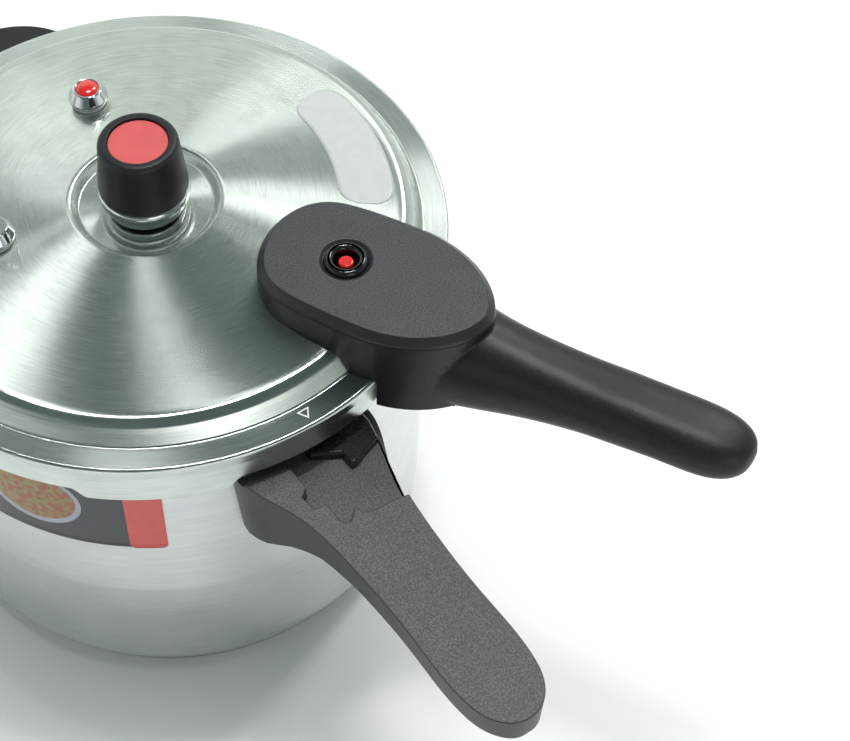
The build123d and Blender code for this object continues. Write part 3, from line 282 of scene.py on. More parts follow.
def weighted(tree, first, second, share):
    """Two masks added up, with share of the second and the rest of the first."""
    rest = maths(tree, "MULTIPLY", first, 1 - share)
    return maths(tree, "ADD", rest, maths(tree, "MULTIPLY", second, share))


def handled(tree, rough, size, dulling):
    """A roughness raised by up to dulling where hands have smudged the surface."""
    smudge = place_group(tree, handling_marks, Size=size)["Smudge"]
    return maths(tree, "ADD", rough, maths(tree, "MULTIPLY", smudge, dulling))


def mix_colours(tree, mask, first, second):
    """first where the mask is 0 and second where it is 1."""
    node = add_node(tree, "ShaderNodeMix", data_type="RGBA")
    tree.links.new(mask, node.inputs[0])
    for number, colour in ((6, first), (7, second)):
        if isinstance(colour, bpy.types.NodeSocket):
            tree.links.new(colour, node.inputs[number])
        else:
            node.inputs[number].default_value = (*colour, 1.0)
    return node.outputs[2]


def bump(tree, height, shader, distance, normal=None):
    """A bump from a height mask, whose full range stands for distance in metres."""
    node = add_node(tree, "ShaderNodeBump")
    node.inputs["Distance"].default_value = distance
    tree.links.new(height, node.inputs["Height"])
    if normal is not None:
        tree.links.new(normal, node.inputs["Normal"])
    tree.links.new(node.outputs[0], shader.inputs["Normal"])
    return node.outputs[0]


def brushed_steel(name, dark, light, rough, lines, streaks, groove, grain_pull):
    """Steel brushed round the Z axis: lines of two shades, roughness that follows them, a shallow bump and
    a highlight pulled out across the lines."""
    material, tree, shader = new_material(name, 1.0)
    mask = place_group(tree, lathe_lines, Lines=lines, Streaks=streaks)
    shade = weighted(tree, mask["Line"], mask["Broad"], 0.4)
    shade = add_node(tree, "ShaderNodeMapRange", in0=shade, in1=0.3, in2=0.7).outputs[0]
    tree.links.new(mix_colours(tree, shade, dark, light), shader.inputs["Base Color"])
    lined = span(tree, mask["Line"], rough[0], rough[1])
    tree.links.new(handled(tree, lined, 11.0, 0.03), shader.inputs["Roughness"])
    bump(tree, mask["Line"], shader, groove)
    if grain_pull:
        shader.inputs["Anisotropic"].default_value = grain_pull
        tangent = add_node(tree, "ShaderNodeTangent", direction_type="RADIAL", axis="Z")
        tree.links.new(tangent.outputs[0], shader.inputs["Tangent"])
    return material


body_steel = brushed_steel(
    "body_steel", (0.62, 0.64, 0.635), (0.74, 0.76, 0.755), (0.26, 0.36), 900.0, 5.0, 0.000008, 0.8
)

wall_line = rounded(
    [
        (0, POT_FLOOR_Z, 0),
        (POT_FOOT_R, POT_FLOOR_Z, 12.0),
        (POT_R, POT_CREASE_Z, 2.0),
        (POT_R, RIM_Z - 2.6, 0.4),
        (RIM_R, RIM_Z - 2.0, 0.4),
        (RIM_R, RIM_Z, 0.7),
        (POT_R - POT_SHEET, RIM_Z, 0.7),
        (POT_R - POT_SHEET, POT_CREASE_Z, 2.0),
        (POT_FOOT_R - POT_SHEET, POT_FLOOR_Z + POT_SHEET, 10.6),
        (0, POT_FLOOR_Z + POT_SHEET, 0),
    ],
    steps=6,
)
pot_wall = spun("pot_wall", wall_line, body_steel, "pot", around=288)
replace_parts(pot_wall, "pot_shell")
lug_line = rounded(
    [
        (POT_R - 0.4, LUG_TOP_Z - LUG_T, 0),
        (LUG_OUT_R, LUG_TOP_Z - LUG_T, 0.9),
        (LUG_OUT_R, LUG_TOP_Z, 0.9),
        (POT_R - 0.4, LUG_TOP_Z, 0),
    ]
)
pot_lug_starts = -90.0 - LUG_DEG / 2 + LUG_PITCH * np.arange(LUG_COUNT)
arc_bars("pot_lugs", lug_line, pot_lug_starts, LUG_DEG, body_steel, "pot")


# ---------------------------------------------------------------- sandwich base
# An aluminium disc is pressed under the pan inside a stainless cap, which spreads the heat of the hob.
# The cap's underside is turned in shallow rings.
BASE_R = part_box("base_cap")[1].x / MM
BASE_TOP_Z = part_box("base_cap")[1].z / MM
RING_PITCH = 6.0

base_steel = brushed_steel(
    "base_steel", (0.52, 0.52, 0.52), (0.68, 0.68, 0.68), (0.30, 0.42), 1100.0, 4.0, 0.00002, 0.4
)
ring_radii = np.arange(RING_PITCH, BASE_R - 12.0, RING_PITCH)
groove_r = (ring_radii[:, None] + np.array([-0.9, -0.3, 0.3, 0.9])).ravel()
groove_z = np.tile([0.0, 0.22, 0.22, 0.0], len(ring_radii))
under_line = np.stack([groove_r, groove_z], 1)
edge_line = rounded(
    [
        (BASE_R - 8.0, 0, 0),
        (BASE_R, 0, 1.8),
        (BASE_R, BASE_TOP_Z, 0.5),
        (BASE_R - 2.6, BASE_TOP_Z + 0.2, 0),
    ]
)
base_line = np.concatenate([[(0, 0)], under_line, edge_line, [(0, BASE_TOP_Z)]])
base_piece = spun("base_cap_turned", base_line, base_steel, "pot", around=192)
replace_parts(base_piece, "base_cap", "base_core")


# ---------------------------------------------------------------- label on the wall
# A printed film sticker is glued round part of the wall. It has a thin white edge, a dark band, a plain
# red end block and a picture of a full dish.
FILM_R = POT_R + 0.08
FILM_Z0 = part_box("body_label")[0].z / MM
FILM_Z1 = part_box("body_label")[1].z / MM
FILM_A0, FILM_A1 = -186.0, -119.6
FILM_LAYER = 0.06
PRINT_BEARING = -147.0
PRINT_Z = 132.0
PRINT_RINGS, PRINT_SIDES = 8, 64


def film_material(name, colour, fleck=None, fleck_size=260.0):
    """Printed plastic film: a colour, a second one in soft flecks if it is given, and a faint orange peel."""
    material, tree, shader = new_material(name, 0.0)
    where = add_node(tree, "ShaderNodeTexCoord").outputs["Object"]
    noise = add_node(tree, "ShaderNodeTexNoise", in0=where)
    noise.inputs["Scale"].default_value = fleck_size
    noise.inputs["Detail"].default_value = 2.0
    mask = add_node(tree, "ShaderNodeMapRange", in0=noise.outputs[0], in1=0.42, in2=0.6).outputs[0]
    shade = tuple(0.96 * c for c in colour) if fleck is None else fleck
    tree.links.new(mix_colours(tree, mask, colour, shade), shader.inputs["Base Color"])
    tree.links.new(span(tree, noise.outputs[0], 0.26, 0.4), shader.inputs["Roughness"])
    shader.inputs["Coat Weight"].default_value = 0.2
    bump(tree, noise.outputs[0], shader, 0.00003)
    return material


def round_film(across, along, half_across, half_along, corner, count=(40, 20)):
    """Points of a rounded rectangle in (across, along): rows across it whose half length shrinks along a
    quarter circle near each end."""
    s = np.sin(np.linspace(-math.pi / 2, math.pi / 2, count[0]))
    a = s * half_across
    into = np.clip(corner - (half_across - np.abs(a)), 0, corner)
    half = half_along - corner + np.sqrt(np.maximum(corner**2 - into**2, 0))
    b = half[:, None] * np.linspace(-1, 1, count[1])
    return across + np.repeat(a[:, None], count[1], 1), along + b


def wall_film(name, a0, a1, z0, z1, corner, layer, material):
    """A rounded film on the wall between two bearings and two heights."""
    middle, half = (a0 + a1) / 2, math.radians(a1 - a0) / 2 * FILM_R
    across, up = round_film(0, (z0 + z1) / 2, half, (z1 - z0) / 2, corner, (72, 16))
    angle = np.radians(middle) + across / FILM_R
    radius = FILM_R + FILM_LAYER * layer
    points = np.stack([radius * np.cos(angle), radius * np.sin(angle), up], -1)
    piece = place(name, points, grid_faces(*across.shape, False, False), material, "pot")
    film = piece.modifiers.new("film", "SOLIDIFY")
    film.thickness = 0.05 * MM
    film.offset = -1.0
    return piece


film_white = film_material("film_white", (0.86, 0.86, 0.86))
film_dark = film_material("film_dark", (0.036, 0.038, 0.048))
film_red = film_material("film_red", (0.74, 0.09, 0.075))
film_dish = film_material("film_dish", (0.42, 0.44, 0.52))
film_stew = film_material("film_stew", (0.36, 0.085, 0.04), fleck=(0.30, 0.25, 0.07), fleck_size=330.0)
back_film = wall_film("wall_label_edge", FILM_A0, FILM_A1, FILM_Z0, FILM_Z1, 3.2, 0, film_white)
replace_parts(back_film, "body_label")
wall_film("wall_label_band", FILM_A0 + 0.7, FILM_A1 - 7.6, FILM_Z0 + 1.3, FILM_Z1 - 1.3, 0.6, 1, film_dark)
wall_film("wall_label_end", FILM_A1 - 8.0, FILM_A1 - 0.25, FILM_Z0 + 0.5, FILM_Z1 - 0.5, 2.8, 2, film_red)


def dish_disc(name, bearing, z, half_wide, half_high, layer, material):
    """A flat oval print on the wall: rings of an ellipse from its middle outwards."""
    share = np.linspace(0.02, 1, PRINT_RINGS)[:, None]
    turn = np.linspace(0, 2 * math.pi, PRINT_SIDES, endpoint=False)
    angle = np.radians(bearing) + share * half_wide * np.cos(turn) / FILM_R
    up = z + share * half_high * np.sin(turn)
    radius = FILM_R + FILM_LAYER * layer
    points = np.stack([radius * np.cos(angle), radius * np.sin(angle), up], -1)
    faces = grid_faces(*angle.shape, False, True).tolist() + [list(range(PRINT_SIDES))]
    return place(name, points, faces, material, "pot")


dish_disc("wall_label_dish", PRINT_BEARING, PRINT_Z, 20.5, 17.5, 2, film_dish)
dish_disc("wall_label_stew", PRINT_BEARING, PRINT_Z + 0.6, 18.3, 15.2, 3, film_stew)


# ---------------------------------------------------------------- handles of the pot
# Phenolic mouldings screwed to steel brackets on the wall. The long one has a flat grained deck, smooth
# sides and a pocket by the wall, where a smooth catch block takes the lid's lock. The short one is an ear.
EDGE_ROUND = 0.55


def grain_group():
    """Spark-eroded mould grain: fine speckles and the height that goes with them."""
    group, given, out = node_group("mould_grain", [("Scale", 1500.0)], ["Speckle", "Cloud", "Height"])
    where = add_node(group, "ShaderNodeTexCoord").outputs["Object"]
    fine = add_node(group, "ShaderNodeTexNoise", in0=where)
    group.links.new(given.outputs["Scale"], fine.inputs["Scale"])
    fine.inputs["Detail"].default_value = 2.0
    fine.inputs["Roughness"].default_value = 0.7
    speckle = add_node(group, "ShaderNodeMapRange", in0=fine.outputs[0], in1=0.40, in2=0.66)
    cloud = add_node(group, "ShaderNodeTexNoise", in0=where)
    cloud.inputs["Scale"].default_value = 90.0
    cloud.inputs["Detail"].default_value = 3.0
    soft = add_node(group, "ShaderNodeMapRange", in0=cloud.outputs[0], in1=0.35, in2=0.7)
    group.links.new(speckle.outputs[0], out.inputs["Speckle"])
    group.links.new(soft.outputs[0], out.inputs["Cloud"])
    group.links.new(fine.outputs[0], out.inputs["Height"])
    return group


mould_grain = grain_group()


def moulded(name, dark, light, rough, scale, depth, coat=0.0):
    """Black moulded plastic whose grain runs from dark to light and roughens it, with faint smudges."""
    material, tree, shader = new_material(name, 0.0, 0.33)
    grain = place_group(tree, mould_grain, Scale=scale)
    mask = weighted(tree, grain["Speckle"], grain["Cloud"], 0.15)
    tree.links.new(mix_colours(tree, mask, dark, light), shader.inputs["Base Color"])
    base = span(tree, grain["Speckle"], rough[0], rough[1])
    tree.links.new(handled(tree, base, 18.0, 0.06), shader.inputs["Roughness"])
    shader.inputs["Coat Weight"].default_value = coat
    bump(tree, grain["Height"], shader, depth)
    return material


def two_faced(name, top, side, top_scale, side_scale, low_z, high_z):
    """Grained where the surface looks up above low_z, and smooth elsewhere: one moulding with two finishes.
    Top and side are each a dark colour, a light colour and a roughness."""
    material, tree, shader = new_material(name, 0.0, 0.45)
    geometry = add_node(tree, "ShaderNodeNewGeometry").outputs
    up = add_node(tree, "ShaderNodeSeparateXYZ", in0=geometry["True Normal"]).outputs[2]
    where = add_node(tree, "ShaderNodeTexCoord").outputs["Object"]
    height = add_node(tree, "ShaderNodeSeparateXYZ", in0=where).outputs[2]
    level = add_node(tree, "ShaderNodeMapRange", in0=up, in1=0.97, in2=0.995).outputs[0]
    above = add_node(tree, "ShaderNodeMapRange", in0=height, in1=low_z * MM, in2=high_z * MM).outputs[0]
    on_top = maths(tree, "MULTIPLY", level, above)
    coarse = place_group(tree, mould_grain, Scale=top_scale)
    fine = place_group(tree, mould_grain, Scale=side_scale)
    mixed = weighted(tree, coarse["Speckle"], coarse["Cloud"], 0.1)
    deck = mix_colours(tree, mixed, top[0], top[1])
    flank = mix_colours(tree, fine["Speckle"], side[0], side[1])
    tree.links.new(mix_colours(tree, on_top, flank, deck), shader.inputs["Base Color"])
    rough = span(tree, on_top, side[2], top[2])
    tree.links.new(handled(tree, rough, 18.0, 0.07), shader.inputs["Roughness"])
    relief = maths(tree, "MULTIPLY", coarse["Height"], on_top)
    normal = bump(tree, relief, shader, 0.00012)
    bump(tree, fine["Height"], shader, 0.00002, normal=normal)
    return material


def softened(node, name, material, body, width=EDGE_ROUND, segments=3):
    """A moulding made from a CAD part's own surface: doubles merged, flats joined and edges rounded."""
    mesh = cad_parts[node].data.copy()
    mesh.name = name
    shape = bmesh.new()
    shape.from_mesh(mesh)
    bmesh.ops.remove_doubles(shape, verts=shape.verts, dist=1e-6)
    bmesh.ops.dissolve_limit(
        shape, angle_limit=math.radians(0.6), verts=shape.verts, edges=shape.edges, delimit={"SHARP"}
    )
    shape.to_mesh(mesh)
    shape.free()
    if mesh.attributes.get("custom_normal"):
        mesh.attributes.remove(mesh.attributes["custom_normal"])
    mesh.polygons.foreach_set("use_smooth", np.ones(len(mesh.polygons), bool))
    mesh.set_sharp_from_angle(angle=math.radians(180))
    mesh.materials.clear()
    mesh.materials.append(material)
    piece = bpy.data.objects.new(name, mesh)
    bpy.context.scene.collection.objects.link(piece)
    bevel = piece.modifiers.new("edges", "BEVEL")
    bevel.limit_method = "ANGLE"
    bevel.angle_limit = math.radians(32)
    bevel.width = width * MM
    bevel.segments = segments
    bevel.use_clamp_overlap = False
    bevel.miter_outer = "MITER_ARC"
    flat = piece.modifiers.new("flats", "WEIGHTED_NORMAL")
    flat.keep_sharp = False
    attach(piece, body)
    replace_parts(piece, node)
    return piece


DECK_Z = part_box("pot_handle")[1].z / MM
deck_plastic = two_faced(
    "deck_plastic",
    ((0.046, 0.048, 0.049), (0.118, 0.120, 0.122), 0.6),
    ((0.035, 0.037, 0.04), (0.05, 0.053, 0.056), 0.42),
    1300.0,
    2600.0,
    DECK_Z - 8.0,
    DECK_Z - 7.0,
)
satin_black = moulded(
    "satin_black", (0.008, 0.009, 0.010), (0.022, 0.023, 0.025), (0.34, 0.44), 2400.0, 0.00003
)
smooth_black = moulded(
    "smooth_black", (0.010, 0.010, 0.011), (0.02, 0.02, 0.022), (0.24, 0.32), 1800.0, 0.00001, coat=0.2
)
softened("pot_handle", "pot_handle_moulding", deck_plastic, "pot")
softened("catch_block", "catch_block_moulding", smooth_black, "pot", width=0.25)
softened("helper_handle", "helper_handle_moulding", satin_black, "pot", width=1.1)


# ---------------------------------------------------------------- gasket
# A loop of pale silicone with two thin lips, which seals the lid to the rim.
SEAL_LOW, SEAL_HIGH = (corner.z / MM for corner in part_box("gasket"))
SEAL_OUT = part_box("gasket")[1].x / MM
SEAL_WALL = 3.2
SEAL_LIP = 2.0
SEAL_IN = 105.5
SEAL_UPPER_IN = 110.1


def silicone_material():
    """Soft pale silicone with a dusty bloom and light scattering under its skin."""
    material, tree, shader = new_material("silicone", 0.0, 0.4)
    smudge = place_group(tree, handling_marks, Size=40.0)["Smudge"]
    bloom = mix_colours(tree, smudge, (0.74, 0.74, 0.71), (0.82, 0.82, 0.80))
    tree.links.new(bloom, shader.inputs["Base Color"])
    tree.links.new(span(tree, smudge, 0.42, 0.62), shader.inputs["Roughness"])
    shader.inputs["Subsurface Weight"].default_value = 0.25
    shader.inputs["Subsurface Scale"].default_value = 0.002
    return material


silicone = silicone_material()
seal_line = rounded(
    [
        (SEAL_IN, SEAL_LOW, 0.7),
        (SEAL_OUT, SEAL_LOW, 0.9),
        (SEAL_OUT, SEAL_HIGH, 0.9),
        (SEAL_UPPER_IN, SEAL_HIGH, 0.6),
        (SEAL_UPPER_IN, SEAL_HIGH - SEAL_LIP, 0.6),
        (SEAL_OUT - SEAL_WALL, SEAL_HIGH - SEAL_LIP, 0.5),
        (SEAL_OUT - SEAL_WALL, SEAL_LOW + SEAL_LIP, 0.5),
        (SEAL_IN, SEAL_LOW + SEAL_LIP, 0.7),
    ]
)
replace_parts(spun("gasket_ring", seal_line, silicone, "seal", around=240), "gasket")


# ---------------------------------------------------------------- lid
# One heavy stainless pressing, brushed on a lathe: a sunk dish in the middle, a gently sloping dome, a
# steep step down to a flat flange, and a skirt whose six deeper parts turn in under the pot's lugs.
DISH_TOP_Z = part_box("lid_shell")[1].z / MM
FLANGE_Z = DISH_TOP_Z - 16.0
LID_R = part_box("lid_shell")[1].x / MM
LID_SHEET = 1.8
LID_BORE_R = 4.15
DISH_FOOT_R, DISH_Z = 26.8, 12.0
DISH_EDGE_R, DISH_EDGE_Z = 29.4, 16.1
SHOULDER_R, SHOULDER_Z = 104.0, 8.6
STEP_FOOT_R = 109.2
SKIRT_R = LID_R - 0.7
SKIRT_SHORT = 15.0
SKIRT_LONG = 20.0
LIP_IN_R = 112.3
LIP_SLOPE_DEG = 3.0

lid_steel = brushed_steel(
    "lid_steel", (0.56, 0.61, 0.57), (0.72, 0.77, 0.725), (0.20, 0.23), 1500.0, 7.0, 0.0000008, 1.0
)


def lid_section(skirt, lip):
    """The lid's closed cross-section, for a skirt depth and for the three inner corners of its lower edge.
    Heights are from the flange."""
    t = LID_SHEET
    top = [
        (LID_BORE_R, DISH_Z, 0.2),
        (DISH_FOOT_R, DISH_Z, 0.9),
        (DISH_EDGE_R, DISH_EDGE_Z, 2.2),
        (SHOULDER_R, SHOULDER_Z, 6.5),
        (STEP_FOOT_R, 0.0, 1.3),
        (LID_R, 0.0, 1.3),
        (SKIRT_R, -6.0, 3.0),
    ]
    under = [
        (SKIRT_R - t, -t, 1.4),
        (108.0, -t, 3.1),
        (102.6, 6.95, 4.7),
        (30.9, 14.2, 4.0),
        (28.3, DISH_Z - t, 2.7),
        (LID_BORE_R, DISH_Z - t, 0.2),
    ]
    corners = top + [(SKIRT_R, -skirt, 0.6)] + lip + under
    return rounded([(r, FLANGE_Z + z, size) for r, z, size in corners], steps=5)


long_lip = [
    (LIP_IN_R, -SKIRT_LONG, 0.5),
    (LIP_IN_R, -SKIRT_LONG + LID_SHEET, 0.5),
    (SKIRT_R - LID_SHEET, -SKIRT_LONG + LID_SHEET, 0.6),
]
short_lip = [
    (SKIRT_R - LID_SHEET, -SKIRT_SHORT, 0.6),
    (SKIRT_R - LID_SHEET, -SKIRT_SHORT + 1.6, 0.1),
    (SKIRT_R - LID_SHEET, -SKIRT_SHORT + 3.2, 0.1),
]
LID_COLUMNS = 540
bearing = np.arange(LID_COLUMNS) * 360.0 / LID_COLUMNS
from_lug = np.abs((bearing + 90.0) % LUG_PITCH - LUG_PITCH / 2)
lug_share = np.clip((LUG_DEG / 2 + LIP_SLOPE_DEG / 2 - from_lug) / LIP_SLOPE_DEG, 0, 1)
lug_share = (lug_share * lug_share * (3 - 2 * lug_share))[None, :, None]
short_line = lid_section(SKIRT_SHORT, short_lip)[:, None]
long_line = lid_section(SKIRT_LONG, long_lip)[:, None]
lid_lines = short_line * (1 - lug_share) + long_line * lug_share
lid_piece = spun("lid_pressing", lid_lines, lid_steel, "lid", around=LID_COLUMNS)
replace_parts(lid_piece, "lid_shell")


# ---------------------------------------------------------------- lid label and closing mark
# A plain white film sticker follows the dome. An open triangle etched on the flange shows where the
# handles meet.
LABEL_R0, LABEL_R1 = 76.0, 98.6
LABEL_A0, LABEL_A1 = -33.6, 9.6
LABEL_ROUND = 9.0
MARK_BEARING = math.radians(-90.0)
MARK_R = 113.2
MARK_SIZE = 3.1
MARK_LINE = 0.55


def dome_z(r):
    """Height of the dome's outer skin between the dish and the shoulder, in mm."""
    fall = (DISH_EDGE_Z - SHOULDER_Z) / (SHOULDER_R - DISH_EDGE_R)
    return FLANGE_Z + DISH_EDGE_Z - fall * (r - DISH_EDGE_R)


label_r = (LABEL_R0 + LABEL_R1) / 2
half_angle = math.radians(LABEL_A1 - LABEL_A0) / 2
along, across = round_film(0, label_r, half_angle * label_r, (LABEL_R1 - LABEL_R0) / 2, LABEL_ROUND, (64, 14))
angle = math.radians((LABEL_A0 + LABEL_A1) / 2) + along / label_r
sticker_points = np.stack([across * np.cos(angle), across * np.sin(angle), dome_z(across) + 0.16], -1)
sticker_faces = grid_faces(*along.shape, False, False)
film_lid = film_material("film_lid", (0.47, 0.49, 0.48))
sticker = place("lid_sticker", sticker_points, sticker_faces, film_lid, "lid")
sticker_edge = sticker.modifiers.new("film", "SOLIDIFY")
sticker_edge.thickness = 0.12 * MM
sticker_edge.offset = -1.0
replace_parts(sticker, "lid_label")

etched_steel, etched_tree, etched_shader = new_material("etched_steel", 0.0, 0.5)
etched_tone = place_group(etched_tree, handling_marks, Size=300.0)["Smudge"]
etched_shade = mix_colours(etched_tree, etched_tone, (0.72, 0.73, 0.70), (0.58, 0.6, 0.57))
etched_tree.links.new(etched_shade, etched_shader.inputs["Base Color"])
etched_shader.inputs["Roughness"].default_value = 0.6
corners = np.radians([90.0, 210.0, 330.0])
outer_mark = np.stack([np.cos(corners), np.sin(corners)], 1) * MARK_SIZE
inner_mark = outer_mark * (1 - 2 * MARK_LINE / MARK_SIZE)
mark_plan = np.concatenate([outer_mark, inner_mark]) * [1.0, -1.0]
mark_u, mark_v = MARK_R - mark_plan[:, 1], mark_plan[:, 0]
mark_x = mark_u * math.cos(MARK_BEARING) - mark_v * math.sin(MARK_BEARING)
mark_y = mark_u * math.sin(MARK_BEARING) + mark_v * math.cos(MARK_BEARING)
mark_top = np.stack([mark_x, mark_y, np.full(6, FLANGE_Z + 0.03)], 1)
mark_faces = [[0, 1, 4, 3], [1, 2, 5, 4], [2, 0, 3, 5]]
place("closing_mark", mark_top, mark_faces, etched_steel, "lid")


# ---------------------------------------------------------------- vent pipe and its fittings
# A bored steel pipe stands in the dish on a hexagon collar. A nut holds it from below, with a pierced cup
# that keeps food out of its bore.
def polished_steel(name, colour, rough):
    """Buffed steel: nearly mirror-bright, with faint smudges that dull it."""
    material, tree, shader = new_material(name, 1.0)
    smudge = place_group(tree, handling_marks, Size=60.0)["Smudge"]
    worn = tuple(0.86 * c for c in colour)
    tree.links.new(mix_colours(tree, smudge, colour, worn), shader.inputs["Base Color"])
    tree.links.new(span(tree, smudge, rough[0], rough[1]), shader.inputs["Roughness"])
    bump(tree, smudge, shader, 0.00001)
    return material


chrome = polished_steel("chrome", (0.80, 0.81, 0.81), (0.06, 0.14))
fitting_steel = polished_steel("fitting_steel", (0.62, 0.62, 0.61), (0.22, 0.36))


def refinish(names, material):
    """CAD parts that keep their own shape and get a finish."""
    for name in names:
        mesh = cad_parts[name].data
        mesh.materials.clear()
        mesh.materials.append(material)


refinish(["vent_pipe", "vent_nut", "vent_screen", "regulator_needle", "regulator_screw"], fitting_steel)
refinish(["vent_washer", "valve_seals", "float_seal"], silicone)


# ---------------------------------------------------------------- regulator weight
# A turned steel weight sits loose on the vent pipe. It has a neck, a thick ring, a black phenolic cap
# that is tapered towards its rounded rim, and a red disc let into the top.
WEIGHT_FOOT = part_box("regulator_body")[0].z / MM
WEIGHT_RING_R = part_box("regulator_body")[1].x / MM
CAP_FOOT_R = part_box("regulator_cap")[1].x / MM
CAP_LOW, CAP_TOP = (corner.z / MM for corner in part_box("regulator_cap"))
DISC_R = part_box("regulator_disc")[1].x / MM
DISC_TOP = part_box("regulator_disc")[1].z / MM
CAP_TOP_R = 15.2
WEIGHT_NECK_R, WEIGHT_NECK_TOP = 15.5, WEIGHT_FOOT + 5.8
WEIGHT_SOCKET_R, WEIGHT_BORE_R = 9.0, 4.6
WEIGHT_SOCKET_Z = WEIGHT_FOOT + 3.6
STUD_TOP = CAP_LOW + 13.9

weight_line = rounded(
    [
        (WEIGHT_SOCKET_R, WEIGHT_FOOT, 0.4),
        (WEIGHT_NECK_R, WEIGHT_FOOT, 0.8),
        (WEIGHT_NECK_R, WEIGHT_NECK_TOP, 1.6),
        (WEIGHT_RING_R, WEIGHT_NECK_TOP, 1.2),
        (WEIGHT_RING_R, CAP_LOW - 0.02, 1.2),
        (WEIGHT_SOCKET_R, CAP_LOW - 0.02, 0.3),
        (WEIGHT_SOCKET_R, STUD_TOP, 0.3),
        (WEIGHT_BORE_R, STUD_TOP, 0.3),
        (WEIGHT_BORE_R, WEIGHT_SOCKET_Z, 0.3),
        (WEIGHT_SOCKET_R, WEIGHT_SOCKET_Z, 0.3),
    ]
)
weight = spun("regulator_weight", weight_line, chrome, "regulator", around=128)
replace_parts(weight, "regulator_body")
cap_line = rounded(
    [
        (CAP_FOOT_R, CAP_LOW, 0.9),
        (CAP_TOP_R + 0.35, CAP_TOP, 2.3),
        (DISC_R + 0.25, CAP_TOP, 0.5),
        (DISC_R + 0.15, DISC_TOP - 1.2, 0.1),
        (6.0, DISC_TOP - 1.25, 0),
        (6.0, CAP_LOW + 18.0, 0),
        (CAP_TOP_R - 2.6, CAP_LOW + 18.0, 0.8),
        (CAP_FOOT_R - 2.4, CAP_LOW, 0.4),
    ],
    steps=6,
)
cap_piece = spun("regulator_knob", cap_line, satin_black, "regulator", around=160)
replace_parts(cap_piece, "regulator_cap")


def red_material(name, colour, rough, coat):
    """Red plastic with a faint mottle in its colour and gloss."""
    material, tree, shader = new_material(name, 0.0)
    grain = place_group(tree, mould_grain, Scale=1600.0)
    deep = tuple(0.88 * c for c in colour)
    tree.links.new(mix_colours(tree, grain["Cloud"], colour, deep), shader.inputs["Base Color"])
    tree.links.new(span(tree, grain["Speckle"], rough[0], rough[1]), shader.inputs["Roughness"])
    shader.inputs["Coat Weight"].default_value = coat
    bump(tree, grain["Height"], shader, 0.00002)
    return material


red_disc = red_material("red_disc", (0.56, 0.085, 0.085), (0.42, 0.5), 0.0)
red_gloss = red_material("red_gloss", (0.62, 0.02, 0.015), (0.10, 0.18), 1.0)
DISC_LOW = DISC_TOP - 1.18
disc_line = rounded([(0, DISC_LOW, 0), (DISC_R, DISC_LOW, 0.1), (DISC_R, DISC_TOP, 0.35), (0, DISC_TOP, 0)])
disc_piece = spun("regulator_button", disc_line, red_disc, "regulator", around=96)
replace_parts(disc_piece, "regulator_disc")


# ---------------------------------------------------------------- safety valve and relief valve
# Two turned steel housings are clamped through the dome on pale washers. One holds a red fusible dome,
# the other a sprung plunger.
VALVE_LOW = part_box("safety_housing")[0].z / MM
VALVE_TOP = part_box("safety_housing")[1].z / MM
VALVE_R = 8.1
VALVE_TOP_R = 5.7


def middle_of(node):
    """The bearing axis of an upright part, in mm."""
    low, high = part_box(node)
    return (low.x + high.x) / 2 / MM, (low.y + high.y) / 2 / MM


def valve_housing(name, node, bore):
    """A turned housing: stem, short neck, a rounded skirt and a tapered top round a bore."""
    line = rounded(
        [
            (3.0, VALVE_LOW, 0.2),
            (5.0, VALVE_LOW, 0.3),
            (5.0, VALVE_TOP - 6.65, 0.1),
            (6.6, VALVE_TOP - 6.65, 0.2),
            (6.6, VALVE_TOP - 5.4, 0.4),
            (VALVE_R, VALVE_TOP - 5.3, 0.6),
            (VALVE_R - 0.15, VALVE_TOP - 4.1, 0.7),
            (VALVE_TOP_R + 0.1, VALVE_TOP, 0.5),
            (bore, VALVE_TOP, 0.25),
            (bore, VALVE_TOP - 3.3, 0.2),
            (min(bore, 3.0) - 0.6, VALVE_TOP - 3.4, 0),
            (2.4, VALVE_LOW + 2.0, 0),
        ]
    )
    piece = spun(name, line, chrome, "lid", centre=middle_of(node), around=96)
    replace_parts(piece, node)


valve_housing("safety_valve_housing", "safety_housing", VALVE_TOP_R - 0.9)
valve_housing("relief_valve_housing", "relief_housing", 1.9)
refinish(["relief_plunger", "relief_spring", "valve_nuts"], fitting_steel)
PLUG_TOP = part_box("safety_plug")[1].z / MM
PLUG_R = VALVE_TOP_R - 0.95
dome_turn = np.linspace(0, math.pi / 2, 14)
dome_line = np.stack([PLUG_R * np.cos(dome_turn), PLUG_TOP - 2.2 + 2.2 * np.sin(dome_turn)], 1)
plug_line = np.concatenate([[(0, PLUG_TOP - 5.0), (PLUG_R, PLUG_TOP - 5.0)], dome_line])
plug = spun("safety_dome", plug_line, red_gloss, "lid", middle_of("safety_plug"), 96)
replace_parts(plug, "safety_plug")


# ---------------------------------------------------------------- lid handle
# A phenolic head is screwed to the lid over a folded bracket and runs out into a rounded grip. A grained
# cover with a smooth chamfer closes its top and leaves a thin dark seam.
COVER_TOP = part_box("lid_handle_cover")[1].z / MM
cover_plastic = two_faced(
    "cover_plastic",
    ((0.020, 0.022, 0.024), (0.060, 0.064, 0.068), 0.52),
    ((0.014, 0.015, 0.016), (0.026, 0.027, 0.029), 0.36),
    1500.0,
    2600.0,
    COVER_TOP - 1.2,
    COVER_TOP - 0.6,
)
softened("lid_handle", "lid_handle_moulding", satin_black, "lid", width=0.6)
softened("lid_handle_cover", "lid_handle_cover_moulding", cover_plastic, "lid", width=0.3)


